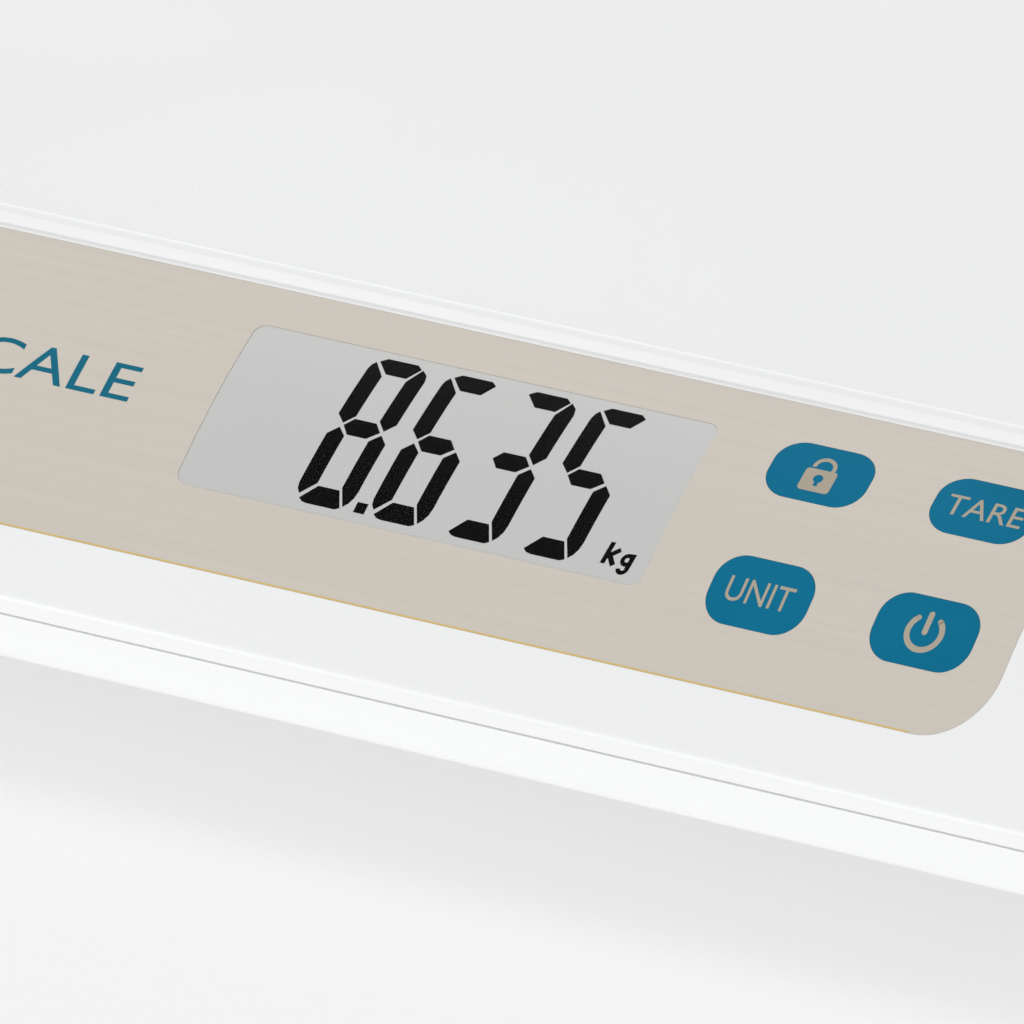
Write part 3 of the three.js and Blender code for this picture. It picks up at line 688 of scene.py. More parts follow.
def brushed_film_group():
    """Printed film with fine streaks that run along the width."""
    inputs = [("Colour", COLOUR, (1, 1, 1, 1)), ("Streak", COLOUR, (0.9, 0.9, 0.9, 1)),
              ("Streak Scale", NUMBER, 900.0), ("Streak Depth", NUMBER, 0.05),
              ("Gloss Low", NUMBER, 0.4), ("Gloss High", NUMBER, 0.5)]
    group, given, result = new_group("brushed_film", inputs, EFFECT_OUTPUTS)
    place = group.nodes.new("ShaderNodeTexCoord").outputs["Object"]
    stretch = group.nodes.new("ShaderNodeMapping")
    stretch.inputs["Scale"].default_value = (0.012, 1.0, 0.0)
    group.links.new(place, stretch.inputs["Vector"])
    fine = add_noise(group, stretch.outputs["Vector"], given.outputs["Streak Scale"], 4.0, 0.7)
    streaky = add_range(group, fine, 0.25, 0.75)
    colour = add_mix(group, streaky, given.outputs["Colour"], given.outputs["Streak"])
    gloss = add_range(group, fine, 0.3, 0.7, given.outputs["Gloss Low"], given.outputs["Gloss High"])
    put_out(group, result, colour, gloss, given.outputs["Streak Depth"], fine)


def opaque(colour):
    return (*colour, 1.0)


def darker(colour, share):
    return opaque([channel * share for channel in colour])


def surface(name, group_name, group_settings, **shader_settings):
    """A material: one shared effect group feeding a Principled shader with its own fixed values."""
    material = bpy.data.materials.new(name)
    material.use_nodes = True
    tree = material.node_tree
    shader = tree.nodes["Principled BSDF"]
    for label, value in shader_settings.items():
        shader.inputs[label.replace("_", " ")].default_value = value
    effect = tree.nodes.new("ShaderNodeGroup")
    effect.node_tree = bpy.data.node_groups[group_name]
    for label, value in group_settings.items():
        effect.inputs[label].default_value = value
    tree.links.new(effect.outputs["Colour"], shader.inputs["Base Color"])
    tree.links.new(effect.outputs["Roughness"], shader.inputs["Roughness"])
    tree.links.new(effect.outputs["Normal"], shader.inputs["Normal"])
    return material


def moulded(name, colour, shade=0.97, cloud=12.0, grain=2200.0, depth=0.05, gloss=(0.25, 0.35), **shader):
    return surface(name, "moulded_skin", {
        "Colour": opaque(colour), "Shade": darker(colour, shade), "Cloud Scale": cloud,
        "Grain Scale": grain, "Grain Depth": depth, "Gloss Low": gloss[0], "Gloss High": gloss[1]}, **shader)


def brushed(name, colour, shade=0.95, scale=900.0, depth=0.05, gloss=(0.4, 0.5), **shader):
    return surface(name, "brushed_film", {
        "Colour": opaque(colour), "Streak": darker(colour, shade), "Streak Scale": scale,
        "Streak Depth": depth, "Gloss Low": gloss[0], "Gloss High": gloss[1]}, **shader)


def frame_finish(name):
    """A plain finish that the frame brings with it."""
    return bpy.data.materials[name]


def white_gloss():
    return moulded("housing_white", finish().housing, shade=0.985, cloud=9.0, depth=0.03, gloss=(0.22, 0.3),
                   IOR=1.46)


def panel_film():
    return brushed("overlay_film", finish().film, shade=0.94, gloss=(0.48, 0.58), Specular_IOR_Level=0.2)


def key_print():
    return moulded("key_teal", finish().key, shade=0.92, cloud=60.0, depth=0.06, gloss=(0.5, 0.6),
                   Specular_IOR_Level=0.04)


def legend_print(name, colour):
    return moulded(name, colour, shade=0.95, cloud=200.0, depth=0.02, gloss=(0.5, 0.6),
                   Specular_IOR_Level=0.02)


def clear_cover():
    return moulded("clear_window", (0.03, 0.03, 0.03), cloud=20.0, depth=0.02, gloss=(0.3, 0.38),
                   Alpha=0.02)


def display_glass():
    return moulded("display_grey", finish().display, shade=0.985, cloud=30.0, depth=0.01, gloss=(0.4, 0.45),
                   Specular_IOR_Level=0.3)


def black_plastic():
    return moulded("black_plastic", (0.02, 0.021, 0.022), shade=1.4, cloud=80.0, depth=0.12,
                   gloss=(0.4, 0.55))


def soft_rubber():
    return moulded("rubber_grey", (0.045, 0.047, 0.05), shade=1.25, cloud=90.0, grain=1500.0, depth=0.3,
                   gloss=(0.7, 0.85))


def board_laminate():
    return brushed("circuit_board", (0.012, 0.12, 0.04), shade=0.75, scale=1600.0, depth=0.1,
                   gloss=(0.3, 0.45))


def plated_steel():
    return brushed("plated_steel", (0.62, 0.63, 0.65), shade=0.85, scale=1800.0, depth=0.12,
                   gloss=(0.22, 0.36), Metallic=1.0)


def red_sheath():
    return moulded("wire_red", (0.42, 0.03, 0.02), shade=0.85, cloud=60.0, depth=0.08, gloss=(0.4, 0.5))


def silver_label():
    return brushed("label_silver", (0.66, 0.665, 0.67), shade=0.93, scale=1400.0, depth=0.04,
                   gloss=(0.35, 0.45))


def cell_wrap():
    """Battery sleeve: blue with a pale band at one end, and bare steel past the sleeve."""
    pale, bare = (0.7, 0.71, 0.72, 1), (0.6, 0.6, 0.61, 1)
    material = moulded("battery_wrap", (0.03, 0.13, 0.36), shade=0.9, cloud=80.0, depth=0.02,
                       gloss=(0.25, 0.35))
    tree = material.node_tree
    shader = tree.nodes["Principled BSDF"]
    effect = next(node for node in tree.nodes if node.type == "GROUP")
    ends = tree.nodes.new("ShaderNodeAttribute")
    ends.attribute_name = "bare_end"
    band = tree.nodes.new("ShaderNodeAttribute")
    band.attribute_name = "pale_band"
    banded = add_mix(tree, band.outputs["Fac"], effect.outputs["Colour"], pale)
    tree.links.new(add_mix(tree, ends.outputs["Fac"], banded, bare), shader.inputs["Base Color"])
    tree.links.new(ends.outputs["Fac"], shader.inputs["Metallic"])
    return material


# ---------------------------------------------------------------- operators

class SCALE_OT_stage(bpy.types.Operator):
    """Adds the pale floor, the soft light and the camera"""

    bl_idname = "baby_scale.stage"
    bl_label = "Stage"

    LENS = 471.706875
    SENSOR = 36
    CLIP_START = 0.05
    CLIP_END = 50
    AZIMUTH = math.radians(27.836)
    ELEVATION = math.radians(31.389)
    ROLL = math.radians(-2.657)
    SHIFT = Vector((20.547 * MM, 14.372 * MM))
    DISTANCE = 1975.97 * MM
    FLOOR_SIZE = 30
    FLOOR_GREY = (0.55, 0.55, 0.55)
    FLOOR_GLOW = 0.36
    FLOOR_BOUNCE = 0.45
    SKY_STRENGTH = 0.76
    LIGHTS = {
        "rear_light": (Vector((-0.6, 1.15, 1.75)), (1.8, 0.7), 13),
        "front_light": (Vector((-0.3, -2.0, 0.16)), (2.4, 0.28), 10),
    }

    def execute(self, context):
        self.add_camera(context)
        self.add_floor()
        self.add_lights(context)
        return {"FINISHED"}

    def add_camera(self, context):
        away = Vector((math.sin(self.AZIMUTH) * math.cos(self.ELEVATION),
                       -math.cos(self.AZIMUTH) * math.cos(self.ELEVATION), math.sin(self.ELEVATION)))
        level = Vector((math.cos(self.AZIMUTH), math.sin(self.AZIMUTH), 0))
        upward = away.cross(level)
        right = level * math.cos(self.ROLL) + upward * math.sin(self.ROLL)
        above = upward * math.cos(self.ROLL) - level * math.sin(self.ROLL)
        panel = Vector((0, PANEL_FRONT, sizes().panel_height))
        place = panel + right * self.SHIFT.x + above * self.SHIFT.y + away * self.DISTANCE
        camera = bpy.data.cameras.new("camera")
        camera.sensor_width = self.SENSOR
        camera.lens = self.LENS
        camera.clip_start = self.CLIP_START
        camera.clip_end = self.CLIP_END
        holder = bpy.data.objects.new("camera", camera)
        context.scene.collection.objects.link(holder)
        turn = Matrix((right, above, away)).transposed().to_4x4()
        holder.matrix_world = Matrix.Translation(place) @ turn
        context.scene.camera = holder

    def add_floor(self):
        floor = named(add_primitive("plane", size=self.FLOOR_SIZE, location=(0, 0, 0)), "floor")
        material = moulded("floor_white", self.FLOOR_GREY, shade=0.99, cloud=2.0, depth=0.0,
                           gloss=(0.14, 0.18), Emission_Strength=1.0)
        floor.data.materials.append(material)
        self.clear_from_below(material)
        self.add_bounce(material)

    def clear_from_below(self, material):
        """Lets the floor be seen through from its under side, so that the scale's underside shows."""
        tree = material.node_tree
        facing = tree.nodes.new("ShaderNodeNewGeometry")
        from_above = tree.nodes.new("ShaderNodeMath")
        from_above.operation = "SUBTRACT"
        from_above.inputs[0].default_value = 1.0
        tree.links.new(facing.outputs["Backfacing"], from_above.inputs[1])
        tree.links.new(from_above.outputs["Value"], tree.nodes["Principled BSDF"].inputs["Alpha"])

    def add_bounce(self, material):
        """Makes the floor throw back more light on the scale than it shows itself."""
        tree = material.node_tree
        seen = tree.nodes.new("ShaderNodeLightPath").outputs["Is Camera Ray"]
        bounce, glow = (opaque([strength] * 3) for strength in (self.FLOOR_BOUNCE, self.FLOOR_GLOW))
        emission = add_mix(tree, seen, bounce, glow)
        tree.links.new(emission, tree.nodes["Principled BSDF"].inputs["Emission Color"])

    def add_lights(self, context):
        world = bpy.data.worlds.new("studio")
        world.use_nodes = True
        sky = world.node_tree.nodes["Background"]
        sky.inputs["Color"].default_value = (1.0, 1.0, 1.0, 1)
        sky.inputs["Strength"].default_value = self.SKY_STRENGTH
        context.scene.world = world
        context.scene.view_settings.view_transform = "Standard"
        for name, settings in self.LIGHTS.items():
            self.add_area(name, *settings)

    def add_area(self, name, place, spread, power):
        """A soft light that faces the middle of the scale."""
        light = bpy.data.lights.new(name, "AREA")
        light.shape = "RECTANGLE"
        light.size, light.size_y = spread
        light.energy = power
        holder = bpy.data.objects.new(name, light)
        bpy.context.scene.collection.objects.link(holder)
        holder.location = place
        holder.rotation_mode = "QUATERNION"
        holder.rotation_quaternion = place.to_track_quat("Z", "Y")


class SCALE_OT_top_housing(bpy.types.Operator):
    """Builds the upper moulding: console, rim and dished tray"""

    bl_idname = "baby_scale.top_housing"
    bl_label = "Top Housing"

    STRIP = 0.92 * MM
    WALL_FOOT = (48.92 * MM, 20.19 * MM, 0.2 * MM)
    CREST_TURN = (49.806 * MM, 22.817 * MM, 1.25 * MM)
    SCREWS = ((130 * MM, -138 * MM), (243 * MM, 0), (120 * MM, 141 * MM))
    BOSS_RADIUS = 4.5 * MM
    BOSS_FOOT = 16.3 * MM
    ROOF_SAMPLES = 16
    PILOT_RADIUS = 2 * MM
    PILOT = (10 * MM, 30 * MM)
    CREST_FALL = 0.396 * MM
    CREST_BEYOND = 2 * MM
    INNER_RUNS = [run * MM for run in (-6.6, 0, 6, 12, 18, 24, 30, 36, 42, 46)]
    INNER_SHARES = (0.04, 0.1, 0.2, 0.3, 0.4, 0.5, 0.6, 0.8, 1.0)

    def execute(self, context):
        shell = woven_skin("top_housing_shell", [*self.outer_rows(), *self.inner_rows()])
        combine(shell, self.bosses(), "UNION")
        combine(shell, self.cutters())
        tidy_normals(shell)
        hand_over(shell, "housing", white_gloss(), ["top_housing"], smooth=28)
        return {"FINISHED"}

    def side_profile(self):
        """Side view from the seam to the crest, as (run, rise) over the panel's front edge."""
        size = sizes()
        slope = math.atan(size.panel_slope)
        arc_run = EDGE_RADIUS - PANEL_SETBACK
        arc_rise = size.panel_slope * arc_run - EDGE_RADIUS / math.cos(slope)
        arc_steps, panel_steps = 14, 32
        angles = [math.pi - (math.pi / 2 - slope) * step / arc_steps for step in range(arc_steps + 1)]
        points = [(arc_run + EDGE_RADIUS * math.cos(angle), arc_rise + EDGE_RADIUS * math.sin(angle))
                  for angle in angles]
        first = points[-1][0]
        strip_end = size.panel_depth + self.STRIP
        runs = [first * (1 - share) for share in (0.35, 0.7)]
        runs += [strip_end * step / panel_steps for step in range(panel_steps + 1)]
        points += [(run, panel_rise(run)) for run in runs]
        crest = (size.crest_run, size.crest_rise, 0)
        beyond = (size.crest_run + self.CREST_BEYOND, size.crest_rise - self.CREST_FALL, 0)
        edge = rounded_path([(*points[-1], 0), self.WALL_FOOT, self.CREST_TURN, beyond], math.radians(8))
        points += [tuple(point) for point in edge[1:] if point.x < crest[0]]
        return [*points, crest[:2]]

    def outer_rows(self):
        size = sizes()
        seam = size.seam_height + SEAM_GAP / 2
        shares = [(step / TRAY_ROWS) ** 1.25 for step in range(TRAY_ROWS, 0, -1)]
        rows = [centre_row(size.tray_height, TRAY_CENTRE_Y), *[tray_row(share) for share in shares]]
        rows += [rim_row(run, rise) for run, rise in reversed(self.side_profile())]
        outline = rim_ring(-PANEL_SETBACK)
        for inset, rise in ((0, 1), (0.3, 0.3), (1, 0)):
            rows.append(flat_row(inset_ring(outline, SEAM_ROUND * inset), seam + SEAM_ROUND * rise))
        return rows

    def inner_rows(self):
        size = sizes()
        seam = size.seam_height + SEAM_GAP / 2
        ring = inset_ring(rim_ring(-PANEL_SETBACK), WALL)
        return [flat_row(ring, seam), *[rim_row(run, panel_rise(run), WALL) for run in self.INNER_RUNS],
                *[tray_row(share, WALL) for share in self.INNER_SHARES],
                centre_row(size.tray_height - WALL, TRAY_CENTRE_Y)]

    def boss_places(self):
        return [(side * x, y) for x, y in self.SCREWS for side in (-1, 1)]

    def bosses(self):
        return [add_cylinder(self.BOSS_RADIUS, self.BOSS_FOOT, self.roof_over(x, y) - WALL / 2, (x, y), 32)
                for x, y in self.boss_places()]

    def roof_over(self, x, y):
        """Lowest height of the outer skin over a boss near the rim."""
        skin = bpy.data.objects["top_housing_shell"]
        heights = []
        for turn in range(self.ROOF_SAMPLES):
            angle = math.tau * turn / self.ROOF_SAMPLES
            side = Vector((math.cos(angle), math.sin(angle), 0)) * self.BOSS_RADIUS
            hit, place, _, _ = skin.ray_cast(Vector((x, y, OVERHEAD)) + side, Vector((0, 0, -1)))
            if not hit:
                raise RuntimeError(f"no housing over {x}, {y}")
            heights.append(place.z)
        return min(heights)

    def cutters(self):
        size = sizes()
        panel = {"x": 0, "y": size.panel_depth / 2, "width": size.panel_width, "depth": size.panel_depth,
                 "corner": size.panel_corner}
        recess = upright(grown(panel, HAIRLINE), 0, -BELOW)
        lay_on_console(recess, -FILM - HAIRLINE, RECESS_TOP)
        opening = upright(grown(DISPLAY, DISPLAY_GAP))
        holes = [upright(grown(key_outline(place), KEY_GAP)) for place in KEYS.values()]
        pilots = [add_cylinder(self.PILOT_RADIUS, *self.PILOT, place, 20) for place in self.boss_places()]
        return [recess, opening, *holes, *pilots]


class SCALE_OT_bottom_housing(bpy.types.Operator):
    """Builds the lower moulding with its foot wells, battery bay and screw wells"""

    bl_idname = "baby_scale.bottom_housing"
    bl_label = "Bottom Housing"

    EDGE_STEPS = 9
    STEP_IN = 2 * MM
    WELL_RADIUS, WELL_TOP = 24 * MM, 15.2 * MM
    SCREW_WELL_RADIUS, SCREW_WELL_TOP = 6 * MM, 16 * MM
    SHANK_RADIUS, HEAD_RADIUS, HEAD_DEPTH = 2 * MM, 3.8 * MM, 3.4 * MM
    BAY_CENTRE = 40 * MM
    BAY_RIM = (68 * MM, 58 * MM, 15.4 * MM)
    BAY_BOX = (60 * MM, 50 * MM, 26.4 * MM)
    BAY_INSIDE = (56 * MM, 46 * MM, 24.4 * MM)
    LEAD_HOLE_RADIUS, LEAD_HOLE_X = 3 * MM, 22 * MM
    PLATE_GAP, PLATE_CORNER, PLATE_DEPTH = 0.3 * MM, 2.15 * MM, 0.8 * MM
    DOOR_GAP, DOOR_CORNER = 0.8 * MM, 1 * MM

    def execute(self, context):
        size = sizes()
        floor = CAD_LOW.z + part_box("bottom_housing")[0].z
        outline = rim_ring(-PANEL_SETBACK)
        seam = size.seam_height - SEAM_GAP / 2
        rows = [centre_row(floor)]
        for step in range(self.EDGE_STEPS + 1):
            angle = math.pi / 2 * step / self.EDGE_STEPS
            inset = LOWER_EDGE_RADIUS * (1 - math.sin(angle))
            height = floor + LOWER_EDGE_RADIUS * (1 - math.cos(angle))
            rows.append(flat_row(inset_ring(outline, inset), height))
        inside = floor + FLOOR_THICKNESS
        for inset, height in ((0, seam - SEAM_ROUND), (SEAM_ROUND * 0.3, seam - SEAM_ROUND * 0.3),
                              (SEAM_ROUND, seam), (WALL, seam), (WALL, inside + self.STEP_IN),
                              (WALL + self.STEP_IN, inside)):
            rows.append(flat_row(inset_ring(outline, inset), height))
        rows.append(centre_row(inside))
        shell = woven_skin("bottom_housing_shell", rows)
        combine(shell, self.additions(floor), "UNION")
        combine(shell, self.cutters(floor))
        tidy_normals(shell)
        hand_over(shell, "housing", frame_finish("housing_white"), ["bottom_housing"],
                  smooth=28)
        return {"FINISHED"}

    def wells(self):
        return [node_centre(f"foot_{corner}") for corner in CORNERS]

    def screws(self):
        return [node_centre(f"housing_screw_{index}") for index in HOUSING_SCREWS]

    def additions(self, floor):
        foot = floor + 1 * MM
        pieces = [add_cylinder(self.WELL_RADIUS, foot, self.WELL_TOP, centre, 64) for centre in self.wells()]
        pieces += [add_cylinder(self.SCREW_WELL_RADIUS, foot, self.SCREW_WELL_TOP, centre, 32)
                   for centre in self.screws()]
        for (width, depth, top), bottom in ((self.BAY_RIM, foot), (self.BAY_BOX, foot + 0.2 * MM)):
            pieces.append(block((-width / 2, self.BAY_CENTRE - depth / 2, bottom),
                                (width / 2, self.BAY_CENTRE + depth / 2, top)))
        return pieces

    def cutters(self, floor):
        through = 20 * MM
        pieces = [add_cylinder(STEM_HOLE, 0, through, centre, 64) for centre in self.wells()]
        for centre in self.screws():
            pieces.append(add_cylinder(self.SHANK_RADIUS, 0, through, centre, 20))
            pieces.append(add_cylinder(self.HEAD_RADIUS, 0, floor + self.HEAD_DEPTH, centre, 40))
        plate_top = floor + self.PLATE_DEPTH
        door_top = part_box("battery_door")[1].z + self.DOOR_GAP / 2
        pieces.append(self.recess("rating_plate", self.PLATE_GAP, self.PLATE_CORNER, plate_top, 14))
        pieces.append(self.recess("battery_door", self.DOOR_GAP, self.DOOR_CORNER, door_top, 6))
        width, depth, top = self.BAY_INSIDE
        pieces.append(rounded_block(0, self.BAY_CENTRE, width, depth, 0.6 * MM, 0, top, segments=4))
        lead_hole = (self.LEAD_HOLE_X, self.BAY_CENTRE)
        pieces.append(add_cylinder(self.LEAD_HOLE_RADIUS, through, through + 10 * MM, lead_hole, 24))
        return pieces

    def recess(self, node, gap, corner, top, segments):
        """A cutter round a node's box, from the ground up."""
        low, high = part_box(node)
        middle = node_centre(node)
        return rounded_block(middle.x, middle.y, high.x - low.x + gap, high.y - low.y + gap, corner, 0, top,
                             segments)


class SCALE_OT_panel(bpy.types.Operator):
    """Builds the printed film, the display and its figures"""

    bl_idname = "baby_scale.panel"
    bl_label = "Panel"

    DRAWN_HEIGHT = 26.3
    DIGIT_PITCH = 12.39
    DIGIT_LEFT = -19.6
    DIGIT_BOTTOM = 12.33
    DIGIT_SLANT = 0.057
    UNIT_STROKE = 0.74 * MM
    UNIT_SLANT = 0.12
    KEY_LEAN = 0.42
    SEGMENTS = {
        "top": [(1.1, 25.5), (2.1, 26.3), (7.1, 26.3), (8.0, 25.6), (6.6, 23.35), (3.2, 23.35)],
        "upper_left": [(0.66, 25.28), (2.86, 22.78), (2.86, 15.0), (1.5, 13.45), (0, 14.84), (0, 23.73),
                       (0.2, 24.6)],
        "upper_right": [(8.31, 25.56), (9.3, 24.7), (9.65, 23.45), (9.64, 15.0), (8.27, 13.45),
                        (6.81, 14.95), (6.86, 22.78)],
        "middle": [(1.79, 13.11), (2.94, 14.5), (6.55, 14.5), (7.85, 13.11), (6.27, 11.67), (3.1, 11.67)],
        "lower_left": [(0, 11.23), (1.38, 12.67), (2.84, 11.34), (2.8, 3.28), (0.81, 1.23), (0.2, 1.95),
                       (0, 2.89)],
        "lower_right": [(6.89, 11.34), (8.31, 12.73), (9.67, 11.39), (9.6, 3.3), (9.42, 2.2), (9.0, 1.3),
                        (8.35, 0.61), (6.85, 3.34)],
        "bottom": [(1.18, 0.61), (3.16, 2.89), (6.66, 2.89), (8.02, 0.34), (7.3, 0), (2.6, 0), (1.8, 0.15)],
    }
    LEFT_OUT = {
        "0": ("middle",), "1": ("top", "upper_left", "middle", "lower_left", "bottom"),
        "2": ("upper_left", "lower_right"), "3": ("upper_left", "lower_left"),
        "4": ("top", "lower_left", "bottom"), "5": ("upper_right", "lower_left"), "6": ("upper_right",),
        "7": ("upper_left", "middle", "lower_left", "bottom"), "8": (), "9": ("lower_left",),
    }

    POINT = [(-2.07, 12.56), (-0.29, 12.56), (-0.21, 14.17), (-1.99, 14.17)]
    UNIT_K_PLACE = (31.05 * MM, 13.35 * MM)
    UNIT_G_PLACE = (33.85 * MM, 13.3 * MM)
    BORDER = (0.02 * MM, 0.19 * MM)
    BORDER_END_GAP = 0.5 * MM
    WORD_BOX = (-84 * MM, 21.2 * MM, -51.5 * MM, 27.4 * MM)

    def execute(self, context):
        self.add_film()
        self.add_window()
        self.add_display()
        self.add_reading()
        self.add_border()
        self.add_word()
        return {"FINISHED"}

    def add_film(self):
        size = sizes()
        film = upright({"x": 0, "y": size.panel_depth / 2, "width": size.panel_width,
                        "depth": size.panel_depth, "corner": size.panel_corner}, 0, SLAB)
        named(film, "panel_film")
        key_holes = [grown(key_outline(place), HAIRLINE) for place in KEYS.values()]
        outlines = [grown(WINDOW, HAIRLINE / 5), *key_holes]
        straight = [upright(outline, BELOW, -BELOW) for outline in outlines]
        combine(film, [*straight, *[self.leaning(upright(outline, BELOW, -BELOW)) for outline in key_holes]])
        lay_on_console(film, -FILM, 0)
        hand_over(film, "housing", panel_film(), ["panel_overlay"])

    def leaning(self, cutter):
        """Leans a cutter along a key's travel, so that the film is cut back under its own edge."""
        for vertex in cutter.data.vertices:
            vertex.co.y += self.KEY_LEAN * FILM * (1 - vertex.co.z / SLAB)
        return cutter

    def add_window(self):
        cover = named(upright(WINDOW, 0, SLAB), "display_cover")
        lay_on_console(cover, -COVER, 0)
        hand_over(cover, "housing", clear_cover(), ["display_window"])

    def add_display(self):
        glass = named(upright(DISPLAY, 0, SLAB), "display_glass")
        lay_on_console(glass, -DISPLAY_DROP - DISPLAY_THICKNESS, -DISPLAY_DROP)
        face = upright(grown(WINDOW, -HAIRLINE / 5), 0, SLAB)
        lay_on_console(face, -DISPLAY_DROP + PRINT, -COVER - 2 * PRINT)
        glass = join([glass, face])
        hand_over(glass, "housing", display_glass(), ["lcd_panel"])

    def figure(self, character, left):
        """The lit segments of one figure, leaning, as outlines."""
        scale = sizes().digit_height / self.DRAWN_HEIGHT
        lit = [outline for name, outline in self.SEGMENTS.items() if name not in self.LEFT_OUT[character]]
        return [[((left + x + self.DIGIT_SLANT * y) * scale, (self.DIGIT_BOTTOM + y) * scale)
                 for x, y in outline] for outline in lit]

    def add_reading(self):
        outlines = []
        left = self.DIGIT_LEFT
        for character in finish().reading:
            if character == ".":
                outlines.append([((left + x) * MM, y * MM) for x, y in self.POINT])
                continue
            outlines += self.figure(character, left)
            left += self.DIGIT_PITCH
        figures = print_shape("display_figures", outlines)
        unit = [self.letter("display_unit_k", self.k_strokes(), *self.UNIT_K_PLACE),
                self.letter("display_unit_g", self.g_strokes(), *self.UNIT_G_PLACE)]
        figures = join([figures, *unit])
        lay_on_console(figures, -COVER - 2.5 * PRINT, -COVER - PRINT)
        ink = legend_print("display_figures", finish().figures)
        hand_over(figures, "housing", ink, smooth=0)

    def letter(self, name, strokes, left, bottom):
        """A small leaning letter, merged from its strokes."""
        placed = [[(left + x + self.UNIT_SLANT * y, bottom + y) for x, y in stroke] for stroke in strokes]
        prints = [print_shape(name, [stroke]) for stroke in placed]
        return combine(prints[0], prints[1:], "UNION")

    def bar(self, start, end):
        """A straight stroke with square ends."""
        along = (Vector(end) - Vector(start)).normalized() * self.UNIT_STROKE / 2
        side = Vector((-along.y, along.x))
        corners = (Vector(start) - side, Vector(end) - side, Vector(end) + side, Vector(start) + side)
        return [tuple(corner) for corner in corners]

    def k_strokes(self):
        half = self.UNIT_STROKE / 2
        return [self.bar((half, 0), (half, 3.4 * MM)),
                self.bar((half, 0.95 * MM), (2.05 * MM, 2.5 * MM)),
                self.bar((0.9 * MM, 1.35 * MM), (2.1 * MM, 0.0))]

    def g_strokes(self):
        bowl = (1.0 * MM, 1.25 * MM)
        outer = 1.0 * MM
        inner = outer - self.UNIT_STROKE * 0.85
        stem = 2 * outer - self.UNIT_STROKE / 2
        hook = (stem + self.UNIT_STROKE / 2 - outer, -0.05 * MM)
        return [annulus(*bowl, outer, inner, math.radians(10), math.radians(180)),
                annulus(*bowl, outer, inner, math.radians(175), math.radians(370)),
                self.bar((stem, -0.1 * MM), (stem, 2.3 * MM)),
                annulus(*hook, outer, inner, math.radians(-165), math.radians(5))]

    def add_border(self):
        half = sizes().panel_width / 2 - sizes().panel_corner - self.BORDER_END_GAP
        low, high = self.BORDER
        line = print_shape("panel_border", [[(-half, low), (half, low), (half, high), (-half, high)]])
        lay_on_console(line, -PRINT, PRINT)
        gold = legend_print("panel_border", finish().film_border)
        hand_over(line, "housing", gold, smooth=0)

    def add_word(self):
        word = print_text("panel_word", finish().panel_word, *self.WORD_BOX)
        lay_on_console(word, -PRINT, PRINT)
        hand_over(word, "housing", legend_print("panel_word", finish().word), smooth=0)


